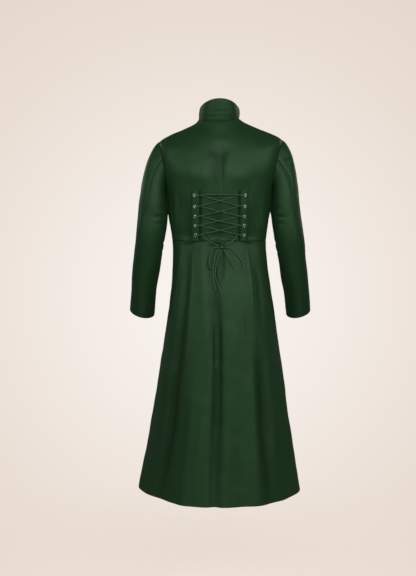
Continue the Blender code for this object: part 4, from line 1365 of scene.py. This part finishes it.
def collar_places():
    rises = row_levels(collar_surface, -COLLAR_SINK, 1, 0, COLLAR_ROW_SPACING)
    end = np.full_like(rises, COLLAR_END)
    return panel_places(collar_surface, rises, -end, end, COLLAR_COLUMN_SPACING)


def strip_lift(x):
    """The underside of a lacing strip over the back: sewn down outside, raised at its free edge."""
    down = ease((np.abs(x) - STRIP_FLAT_END) / (STRIP_OUTER - STRIP_FLAT_END))
    return STRIP_LIFT + (sizes().seam_gap - STRIP_LIFT) * down


def add_strip(side, name):
    """A lacing strip with a round hole for each eyelet."""
    node = f"lacing_strip_{name}"
    length, width = STRIP_TOP - STRIP_BOTTOM, STRIP_OUTER - STRIP_INNER
    across = STRIP_INNER + width * edge_shares(width, STRIP_COLUMNS)
    up = STRIP_BOTTOM + length * edge_shares(length, STRIP_ROWS)
    x, z = np.meshgrid(across, up)
    low = on_back(side * x, z, strip_lift(x))
    high = on_back(side * x, z, strip_lift(x) + sizes().strip_wall)
    edges = Edges("folded", "folded", "folded", "gore")
    pillow = STRIP_PILLOW * np.sin(pi * (x - STRIP_INNER) / width) * np.ones_like(z)
    outer = high + unit(high - low) * pillow[..., None]
    # Painted shadow along the strip's inner edge
    shade = STRIP_EDGE_SHADE * np.exp(-(((x - STRIP_INNER) / STRIP_EDGE_REACH) ** 2)) * np.ones_like(z)
    mesh = panel_mesh(node, outer, low, edges, side < 0, shade)
    made = add_object(node + "_cloth", mesh, cloth_material())
    holes = [(on_back(side * e.x, e.z, STRIP_LIFT), on_back_way(side, e)) for e in EYELETS]
    punch(made, holes, HOLE_RADIUS, STRIP_CUT * sizes().strip_wall + STRIP_LIFT)
    finish_piece(made, "cloth", node)
    CLOTHS[node] = Cloth(outer, unit(high - low))


def add_strips():
    add_strip(1, "left")
    add_strip(-1, "right")


def on_back_way(side, eyelet):
    """The cloth's normal at an eyelet."""
    low, high = (on_back(side * eyelet.x, eyelet.z, lift) for lift in (0, LIFT_STEP))
    return unit(high - low)


def punch(made, holes, radius, depth):
    """Cuts round holes through a piece; each hole is a place and a way."""
    body = bmesh.new()
    for place, way in holes:
        turn = Vector(way).to_track_quat("Z", "Y").to_matrix().to_4x4()
        turn.translation = Vector(place)
        bmesh.ops.create_cone(
            body, cap_ends=True, segments=HOLE_SIDES, radius1=radius, radius2=radius, depth=depth, matrix=turn
        )
    mesh = bpy.data.meshes.new("holes")
    body.to_mesh(mesh)
    body.free()
    cutter = bpy.data.objects.new("holes", mesh)
    bpy.context.scene.collection.objects.link(cutter)
    cut = made.modifiers.new("holes", "BOOLEAN")
    cut.operation = "DIFFERENCE"
    cut.solver = "EXACT"
    cut.object = cutter
    settle(made)
    bpy.data.objects.remove(cutter)


def settle(made):
    """Turns a piece and its modifiers into one plain mesh."""
    bpy.context.view_layer.update()
    evaluated = made.evaluated_get(bpy.context.evaluated_depsgraph_get())
    mesh = bpy.data.meshes.new_from_object(evaluated)
    made.modifiers.clear()
    made.data = mesh


def route_points(route):
    """Points over the cloth along the smooth curve through a route."""
    corners = on_back(*np.array(route).T)
    way = walked(corners)
    curve = Smooth(way, route, steady=True)
    places = np.linspace(0, way[-1], round(way[-1] / LACE_STEP) + 1)
    return on_back(*curve.at(places).T)


def rounded_ends(points, radius):
    """A cord's points and radii, with closer rings that round off its two tips."""
    turns = np.linspace(0, pi / 2, LACE_TIP_RINGS + 1)[:-1]
    ways = unit(np.array((points[1] - points[0], points[-1] - points[-2])))
    apart = (radius * (1 - np.sin(turns)))[:, None]
    head, tail = points[0] + ways[0] * apart, points[-1] - ways[1] * apart
    way = walked(points)
    room = LACE_TIP_ROOM * radius
    inner = points[(way > room) & (way < way[-1] - room)]
    tips = radius * np.cos(turns)
    radii = np.concatenate([tips[::-1], np.full(len(inner), radius), tips])
    return np.concatenate([head[::-1], inner, tail]), radii


def cord_frames(points, closed):
    """Two directions across a cord at each of its points, which don't twist."""
    if closed:
        ways = unit(np.roll(points, -1, axis=0) - np.roll(points, 1, axis=0))
    else:
        ways = unit(np.gradient(points, axis=0))
    side = np.cross(ways[0], ASIDE)
    sides = []
    for way in ways:
        side = unit(side - (side @ way) * way)
        sides.append(side)
    return np.array(sides), np.cross(ways, sides)


def tube_mesh(name, points, radius, closed=False):
    """A round cord along points, with a map of the way round and along it."""
    radii = np.full(len(points), radius)
    if not closed:
        points, radii = rounded_ends(points, radius)
    sides, others = cord_frames(points, closed)
    turns = np.arange(LACE_SIDES) * 2 * pi / LACE_SIDES
    across = np.cos(turns)[None, :, None] * sides[:, None] + np.sin(turns)[None, :, None] * others[:, None]
    rings = points[:, None] + radii[:, None, None] * across
    count = len(points)
    index = np.arange(count * LACE_SIDES).reshape(count, LACE_SIDES)
    beside = np.roll(index, -1, axis=1)
    quads = np.stack([index, beside, np.roll(beside, -1, axis=0), np.roll(index, -1, axis=0)], axis=-1)
    faces = quads.reshape(-1, 4).tolist()
    if not closed:
        faces = quads[:-1].reshape(-1, 4).tolist() + [index[0, ::-1].tolist(), index[-1].tolist()]
    mesh = bpy.data.meshes.new(name)
    mesh.from_pydata(rings.reshape(-1, 3).tolist(), [], faces)
    add_uv(mesh, stacked(turns * radius, walked(points)[:, None]).reshape(-1, 2))
    mesh.shade_smooth()
    return mesh


def turn_through(side, eyelet):
    """The lace over a strip, down through its eyelet and back under it."""
    over, under = LACE_ON_STRIP, LACE_ON_PANEL
    bend = LACE_TURN * (1 - sqrt(0.5))
    points = (
        (eyelet.x - LACE_TURN, over),
        (eyelet.x - bend, over - bend),
        (eyelet.x, over - LACE_TURN),
        (eyelet.x, under + LACE_TURN),
        (eyelet.x - bend, under + bend),
        (eyelet.x - LACE_TURN, under),
    )
    return [LacePoint(side * x, eyelet.z, lift) for x, lift in points]


def crossing(side, start_z, end_z, over):
    """The lace from under one strip to the edge of the other, over or under its other half."""
    pass_lift = LACE_ON_LACE if over else LACE_ON_PANEL
    points = (
        (LACE_PASS_START, pass_lift),
        (LACE_PASS_END, pass_lift),
        (LACE_CLIMB, LACE_CLIMB_LIFT),
        (-STRIP_INNER, LACE_ON_STRIP),
    )
    fall = (end_z - start_z) / (LACE_OUT + STRIP_INNER)
    return [LacePoint(side * x, start_z + (LACE_OUT - x) * fall, lift) for x, lift in points]


def half_lace_route(side):
    """One half of the lace, from the middle of its top bar to the knot."""
    route = [LacePoint(side * x, EYELETS[0].z + z, lift) for x, z, lift in TOP_BAR]
    for row, eyelet in enumerate(EYELETS):
        route += turn_through(side, eyelet)
        route.append(LacePoint(side * LACE_OUT, eyelet.z - LACE_OUT_DROP, LACE_ON_PANEL))
        if row + 1 == len(EYELETS):
            break
        over = (row % 2 == 0) == (side > 0)
        route += crossing(side, route[-1].z, EYELETS[row + 1].z + LACE_IN_RISE, over)
        side = -side
    route.append(LACE_TO_KNOT._replace(x=side * LACE_TO_KNOT.x + KNOT_X / 2))
    x, z, lift = LACE_AT_KNOT
    route.append(LacePoint(KNOT_X + side * x, KNOT_Z + z, lift))
    return route


def add_lace_run(name, route):
    points = route_points(route)
    made = add_object(name + "_cord", tube_mesh(name, points, sizes().lace / 2), lace_material())
    return finish_piece(made, "lace", name), points


def knot_point(across, up, out):
    """A place in the knot, from its middle."""
    return on_back(KNOT_X + across, KNOT_Z + up, KNOT_HALF_DEPTH + sizes().seam_gap + out)


def add_knot():
    """The bow's knot: two wraps of the lace over its crossed middle."""
    radius = sizes().lace / 2
    turns = np.linspace(0, 2 * pi, WRAP_POINTS, endpoint=False)
    parts = []
    for wrap in WRAPS:
        ring = knot_point(
            wrap.middle + wrap.slant * np.cos(turns),
            WRAP_HALF_HEIGHT * wrap.size * np.cos(turns),
            WRAP_HALF_DEPTH * wrap.size * np.sin(turns),
        )
        parts.append(tube_mesh("wrap", ring, radius * WRAP_THICKNESS, closed=True))
    way = np.linspace(-CORE_HALF_LENGTH, CORE_HALF_LENGTH, CORE_POINTS)
    core = knot_point(way, CORE_WAVE * np.sin(way * CORE_WAVE_RATE), np.full_like(way, -CORE_SUNK))
    parts.append(tube_mesh("core", core, radius * CORE_THICKNESS))
    body = bmesh.new()
    for part in parts:
        body.from_mesh(part)
    mesh = bpy.data.meshes.new("lace_knot")
    body.to_mesh(mesh)
    body.free()
    mesh.shade_smooth()
    return finish_piece(add_object("lace_knot_cord", mesh, lace_material()), "lace", "lace_knot")


def add_lace():
    knot = add_knot()
    for name, side in (("lace_left", 1), ("lace_right", -1)):
        add_lace_run(name, half_lace_route(side))
    for name, route, far_end, with_pieces in (
        ("lace_loop_right", RIGHT_LOOP, "object", [knot]),
        ("lace_loop_left", LEFT_LOOP, "object", []),
        ("lace_tail_1", FIRST_TAIL, "bare", []),
        ("lace_tail_2", SECOND_TAIL, "bare", []),
    ):
        made, points = add_lace_run(name, route)
        float(walked(points)[-1])


def spun_mesh(name, profile, segments, closed):
    """A mesh turned about Z from a profile of radius and height."""
    body = bmesh.new()
    corners = [body.verts.new((radius, 0, height)) for radius, height in profile]
    pairs = list(zip(corners, corners[1:])) + ([(corners[-1], corners[0])] if closed else [])
    lines = [body.edges.new(pair) for pair in pairs]
    bmesh.ops.spin(
        body, geom=corners + lines, axis=(0, 0, 1), cent=(0, 0, 0), angle=2 * pi,
        steps=segments, use_merge=True,
    )
    bmesh.ops.remove_doubles(body, verts=body.verts, dist=WELD)
    bmesh.ops.recalc_face_normals(body, faces=body.faces)
    mesh = bpy.data.meshes.new(name)
    body.to_mesh(mesh)
    body.free()
    mesh.shade_smooth()
    mesh.set_sharp_from_angle(angle=radians(SHARP_ANGLE))
    return mesh


def eyelet_mesh():
    """A rolled flange and its barrel."""
    under = sizes().seam_gap
    centre = (FLANGE_RADIUS + EYE_RADIUS) / 2
    half = (FLANGE_RADIUS - EYE_RADIUS) / 2
    crown = [
        (centre + half * np.cos(turn), under + FLANGE_THICKNESS * np.sin(turn))
        for turn in np.linspace(0, pi, FLANGE_POINTS)
    ]
    barrel = [(EYE_RADIUS, -sizes().strip_wall), (BARREL_RADIUS, -sizes().strip_wall)]
    return spun_mesh("eyelet", crown + barrel + [(BARREL_RADIUS, under)], EYELET_SIDES, closed=True)


def button_mesh():
    """A plain dished button with four holes."""
    whole = spun_mesh("button", BUTTON_SECTION, sizes().button_sides, closed=False)
    made = bpy.data.objects.new("button", whole)
    bpy.context.scene.collection.objects.link(made)
    turns = np.radians(BUTTON_HOLE_TURNS)
    holes = [((BUTTON_HOLE_PLACE * np.cos(t), BUTTON_HOLE_PLACE * np.sin(t), 0), (0, 0, 1)) for t in turns]
    punch(made, holes, BUTTON_HOLE, BUTTON_CUT)
    mesh = made.data
    bpy.data.objects.remove(made)
    return mesh


class Copies(Nodes):
    """A Geometry Nodes tree with named inputs."""

    def __init__(self, name, inputs):
        super().__init__(bpy.data.node_groups.new(name, "GeometryNodeTree"))
        face = self.tree.interface
        face.new_socket("Geometry", in_out="INPUT", socket_type="NodeSocketGeometry")
        self.ids = {}
        for label, kind in inputs.items():
            socket = face.new_socket(label, in_out="INPUT", socket_type="NodeSocket" + kind)
            self.ids[label] = socket.identifier
        face.new_socket("Geometry", in_out="OUTPUT", socket_type="NodeSocketGeometry")
        self.start = self.node("NodeGroupInput")

    def finish(self, geometry):
        """Realizes the copies, gives them their material and ends the tree."""
        real = self.node("GeometryNodeRealizeInstances", {"Geometry": geometry})
        material = self.start.outputs["Material"]
        paint = self.node("GeometryNodeSetMaterial", {"Geometry": real.outputs[0], "Material": material})
        self.node("NodeGroupOutput", {"Geometry": paint.outputs[0]})

    def run(self, made, values):
        """Runs the tree on an object and leaves the plain mesh."""
        modifier = made.modifiers.new(self.tree.name, "NODES")
        modifier.node_group = self.tree
        for label, value in values.items():
            modifier[self.ids[label]] = value
        settle(made)


def stitch_tree():
    """Stitches of one length, spaced evenly along every line of a mesh."""
    inputs = {"Pitch": "Float", "Length": "Float", "Radius": "Float", "Material": "Material"}
    tree = Copies("stitches", inputs)
    start = tree.start.outputs
    lines = tree.node("GeometryNodeMeshToCurve", {"Mesh": start["Geometry"]})
    spaced = tree.node(
        "GeometryNodeResampleCurve", {"Curve": lines.outputs[0], "Length": start["Pitch"]}, mode="LENGTH"
    )
    grain = tree.node(
        "GeometryNodeMeshUVSphere", {"Segments": STITCH_SIDES, "Rings": STITCH_RINGS, "Radius": 1.0}
    )
    smooth = tree.node("GeometryNodeSetShadeSmooth", {"Geometry": grain.outputs["Mesh"]})
    half = tree.node("ShaderNodeMath", {0: start["Length"], 1: 0.5}, operation="MULTIPLY")
    size = tree.node(
        "ShaderNodeCombineXYZ", {"X": start["Radius"], "Y": start["Radius"], "Z": half.outputs[0]}
    )
    shape = tree.node("GeometryNodeTransform", {"Geometry": smooth.outputs[0], "Scale": size.outputs[0]})
    way = tree.node("GeometryNodeInputTangent")
    turn = tree.node("FunctionNodeAlignRotationToVector", {"Vector": way.outputs[0]}, axis="Z")
    copies = tree.node(
        "GeometryNodeInstanceOnPoints",
        {"Points": spaced.outputs[0], "Instance": shape.outputs[0], "Rotation": turn.outputs[0]},
    )
    tree.finish(copies.outputs[0])
    return tree


def copies_tree():
    """A copy of an object at every point, with its Z along the point's facing attribute."""
    tree = Copies("copies", {"Copy": "Object", "Material": "Material"})
    points = tree.node("GeometryNodeMeshToPoints", {"Mesh": tree.start.outputs["Geometry"]})
    source = tree.node("GeometryNodeObjectInfo", {"Object": tree.start.outputs["Copy"]})
    facing = tree.node("GeometryNodeInputNamedAttribute", {"Name": "facing"}, data_type="FLOAT_VECTOR")
    turn = tree.node("FunctionNodeAlignRotationToVector", {"Vector": facing.outputs[0]}, axis="Z")
    copies = tree.node(
        "GeometryNodeInstanceOnPoints",
        {
            "Points": points.outputs[0],
            "Instance": source.outputs["Geometry"],
            "Rotation": turn.outputs[0],
        },
    )
    tree.finish(copies.outputs[0])
    return tree


def add_copies(name, mesh, places, ways, slot, material, nodes):
    """One piece of like copies, each at a place with its Z along a way."""
    pattern = bpy.data.objects.new(name + "_pattern", mesh)
    bpy.context.scene.collection.objects.link(pattern)
    points = bpy.data.meshes.new(name)
    points.from_pydata([list(place) for place in places], [], [])
    facing = points.attributes.new("facing", "FLOAT_VECTOR", "POINT")
    facing.data.foreach_set("vector", np.array(ways, np.float32).ravel())
    made = bpy.data.objects.new(name, points)
    bpy.context.scene.collection.objects.link(made)
    copies_tree().run(made, {"Copy": pattern, "Material": material})
    bpy.data.objects.remove(pattern)
    finish_piece(made, slot, *nodes)


def add_eyelets():
    places, ways, nodes = [], [], []
    for side, name in ((1, "left"), (-1, "right")):
        for row, eyelet in enumerate(EYELETS):
            places.append(on_back(side * eyelet.x, eyelet.z, STRIP_LIFT + sizes().strip_wall))
            ways.append(on_back_way(side, eyelet))
            nodes.append(f"eyelet_{name}_{row + 1}")
    add_copies("eyelets", eyelet_mesh(), places, ways, "nickel", nickel_material(), nodes)


def add_buttons():
    places, ways, nodes = [], [], []
    for row in range(BUTTON_COUNT):
        level = front_level(FIRST_BUTTON - row * BUTTON_SPACING)
        way = body_normals(np.array(level), np.array(180.0))
        places.append(body_surface(np.array(level), np.array(180.0)) + way * BUTTON_LIFT)
        ways.append(way)
        nodes.append(f"button_{row + 1}")
    add_copies("buttons", button_mesh(), places, ways, "button", horn_material(), nodes)


def line_inside(cloth, edge, inset):
    """The line on a panel that runs beside one of its edges, just over the cloth."""
    grid, normals = cloth.outer, cloth.normals
    if edge in ("low", "high"):
        grid, normals = grid.transpose(1, 0, 2), normals.transpose(1, 0, 2)
    if edge in ("last", "high"):
        grid, normals = grid[:, ::-1], normals[:, ::-1]
    line = []
    for row in grid + normals * STITCH_LIFT:
        way = walked(row)
        line.append([np.interp(inset, way, row[:, i]) for i in range(3)])
    return np.array(line)


def add_stitches(name, lines):
    """Topstitching along several lines, as one piece."""
    vertices = np.concatenate(lines)
    edges, start = [], 0
    for line in lines:
        edges += [(start + i, start + i + 1) for i in range(len(line) - 1)]
        start += len(line)
    mesh = bpy.data.meshes.new(name)
    mesh.from_pydata(vertices.tolist(), edges, [])
    made = bpy.data.objects.new(name, mesh)
    bpy.context.scene.collection.objects.link(made)
    stitch_tree().run(
        made,
        {
            "Pitch": sizes().stitch_pitch,
            "Length": sizes().stitch,
            "Radius": sizes().thread / 2,
            "Material": thread_material(),
        },
    )
    finish_piece(made, "cloth")


def add_stage():
    """Camera, floor, lamps and backdrop."""
    scene = bpy.context.scene
    scene.view_settings.view_transform = "Standard"
    lens = bpy.data.cameras.new("camera")
    lens.lens = CAMERA_LENS
    camera = bpy.data.objects.new("camera", lens)
    camera.location = CAMERA_PLACE
    camera.rotation_euler = (radians(90 - CAMERA_DROP), 0, pi)
    scene.collection.objects.link(camera)
    scene.camera = camera
    for lamp in LAMPS:
        add_lamp(lamp)
    add_floor()
    add_backdrop()


def add_lamp(lamp):
    light = bpy.data.lights.new(lamp.name, "AREA")
    light.shape = "RECTANGLE"
    light.size = lamp.width
    light.size_y = lamp.height
    light.energy = lamp.power
    made = bpy.data.objects.new(lamp.name, light)
    made.visible_camera = False
    made.location = lamp.place
    aim = Vector(lamp.aim) - Vector(lamp.place)
    made.rotation_euler = aim.to_track_quat("-Z", "Y").to_euler()
    bpy.context.scene.collection.objects.link(made)


def add_floor():
    body = bmesh.new()
    bmesh.ops.create_circle(body, cap_ends=True, segments=FLOOR_SIDES, radius=FLOOR_RADIUS)
    mesh = bpy.data.meshes.new("floor")
    body.to_mesh(mesh)
    body.free()
    floor = add_object("floor", mesh, floor_material())
    floor.location = (0, 0, FLOOR_Z)


def add_backdrop():
    """A pale round glow behind the coat in the view from its back; elsewhere the backdrop is plain."""
    world = bpy.data.worlds.new("backdrop")
    world.use_nodes = True
    bpy.context.scene.world = world
    sky = Nodes(world.node_tree)
    light = sky.tree.nodes["Background"]
    light.inputs["Color"].default_value = (*colours().backdrop_middle, 1)
    light.inputs["Strength"].default_value = AMBIENT
    look = sky.node("ShaderNodeTexCoord").outputs["Generated"]
    drop = radians(BACKDROP_DROP)
    middle = (0, -np.cos(drop), -np.sin(drop))
    toward = sky.node("ShaderNodeVectorMath", {0: look, 1: middle}, operation="DOT_PRODUCT")
    turn = sky.node("ShaderNodeMath", {0: toward.outputs["Value"]}, operation="ARCCOSINE")
    share = sky.node(
        "ShaderNodeMapRange",
        {"Value": turn.outputs[0], "From Min": 0.0, "From Max": BACKDROP_REACH, "To Min": 0.0, "To Max": 1.0},
    )
    ramp = sky.node("ShaderNodeValToRGB", {"Fac": share.outputs["Result"]})
    ramp.color_ramp.interpolation = "B_SPLINE"
    ramp.color_ramp.elements[0].color = (*colours().backdrop_middle, 1)
    ramp.color_ramp.elements[1].color = (*colours().backdrop, 1)
    seen = sky.node("ShaderNodeBackground", {"Color": ramp.outputs["Color"], "Strength": 1.0})
    path = sky.node("ShaderNodeLightPath")
    both = sky.node(
        "ShaderNodeMixShader",
        {0: path.outputs["Is Camera Ray"], 1: light.outputs[0], 2: seen.outputs[0]},
    )
    sky.tree.links.new(both.outputs[0], sky.tree.nodes["World Output"].inputs["Surface"])


def add_stitching():
    """Topstitching beside the strips' edges, the elbow seams, the front's edge and the collar's top."""
    strips, sleeves, fronts = [], [], []
    for name in ("left", "right"):
        strip = CLOTHS[f"lacing_strip_{name}"]
        strips.append(line_inside(strip, "first", STRIP_INNER_STITCH))
        strips.append(line_inside(strip, "last", STRIP_OUTER_STITCH))
        under = CLOTHS[f"sleeve_under_{name}"]
        sleeves.append(line_inside(under, "last", PRESS_INSET))
        upper = CLOTHS[f"sleeve_upper_{name}"]
        sleeves += [line_inside(part, "high", HEM_DEPTH) for part in (under, upper)]
    for front in ("bodice_front_right", "skirt_front_right"):
        fronts.append(line_inside(CLOTHS[front], "last", FRONT_STITCH))
    for edge in ("high", "first", "last"):
        fronts.append(line_inside(CLOTHS["collar"], edge, COLLAR_STITCH))
    add_stitches("strip_stitching", strips)
    add_stitches("sleeve_stitching", sleeves)
    add_stitches("front_stitching", fronts)


class AddStage(bpy.types.Operator):
    """Sets the camera, the pale floor, the lamps and the backdrop"""

    bl_idname = "coat.stage"
    bl_label = "Stage"

    def execute(self, context):
        add_stage()
        return {"FINISHED"}


class AddLace(bpy.types.Operator):
    """Laces the back and ties the bow"""

    bl_idname = "coat.lace"
    bl_label = "Lace"

    def execute(self, context):
        add_lace()
        return {"FINISHED"}


class AddBodice(bpy.types.Operator):
    """Makes the back and both fronts, from the waist up"""

    bl_idname = "coat.bodice"
    bl_label = "Bodice"

    def execute(self, context):
        add_bodice()
        return {"FINISHED"}


class AddSkirt(bpy.types.Operator):
    """Makes the flared skirt's six panels"""

    bl_idname = "coat.skirt"
    bl_label = "Skirt"

    def execute(self, context):
        add_skirt()
        return {"FINISHED"}


class AddCollar(bpy.types.Operator):
    """Makes the stand collar"""

    bl_idname = "coat.collar"
    bl_label = "Collar"

    def execute(self, context):
        add_collar()
        return {"FINISHED"}


class AddSleeves(bpy.types.Operator):
    """Makes both sleeves, each of an upper and an under piece"""

    bl_idname = "coat.sleeves"
    bl_label = "Sleeves"

    def execute(self, context):
        add_sleeves()
        return {"FINISHED"}


class AddStrips(bpy.types.Operator):
    """Makes the two strips that carry the eyelets"""

    bl_idname = "coat.strips"
    bl_label = "Lacing strips"

    def execute(self, context):
        add_strips()
        return {"FINISHED"}


class AddEyelets(bpy.types.Operator):
    """Sets the ten eyelets"""

    bl_idname = "coat.eyelets"
    bl_label = "Eyelets"

    def execute(self, context):
        add_eyelets()
        return {"FINISHED"}


class AddButtons(bpy.types.Operator):
    """Sets the buttons down the front"""

    bl_idname = "coat.buttons"
    bl_label = "Buttons"

    def execute(self, context):
        add_buttons()
        return {"FINISHED"}


class AddStitching(bpy.types.Operator):
    """Sews the topstitching along the seams and edges"""

    bl_idname = "coat.stitching"
    bl_label = "Stitching"

    def execute(self, context):
        add_stitching()
        return {"FINISHED"}


STEPS = (
    AddStage,
    AddLace,
    AddBodice,
    AddSkirt,
    AddCollar,
    AddSleeves,
    AddStrips,
    AddEyelets,
    AddButtons,
    AddStitching,
)


class CoatPanel(bpy.types.Panel):
    """The coat's sizes, colours and steps"""

    bl_idname = "COAT_PT_steps"
    bl_label = "Laced Long Coat"
    bl_space_type = "VIEW_3D"
    bl_region_type = "UI"
    bl_category = "Coat"

    def draw(self, context):
        for group in (context.scene.coat_sizes, context.scene.coat_colours):
            box = self.layout.box()
            for name in group.__annotations__:
                box.prop(group, name)
        for step in STEPS:
            self.layout.operator(step.bl_idname)


CLASSES = (CoatSizes, CoatColours, *STEPS, CoatPanel)


def register():
    for made in CLASSES:
        bpy.utils.register_class(made)
    bpy.types.Scene.coat_sizes = PointerProperty(type=CoatSizes)
    bpy.types.Scene.coat_colours = PointerProperty(type=CoatColours)


def unregister():
    del bpy.types.Scene.coat_colours
    del bpy.types.Scene.coat_sizes
    for made in reversed(CLASSES):
        bpy.utils.unregister_class(made)


def main():
    register()
    bpy.ops.coat.stage()
    bpy.ops.coat.lace()
    bpy.ops.coat.bodice()
    bpy.ops.coat.skirt()
    bpy.ops.coat.collar()
    bpy.ops.coat.sleeves()
    bpy.ops.coat.strips()
    bpy.ops.coat.eyelets()
    bpy.ops.coat.buttons()
    bpy.ops.coat.stitching()


if __name__ == "__main__":
    main()
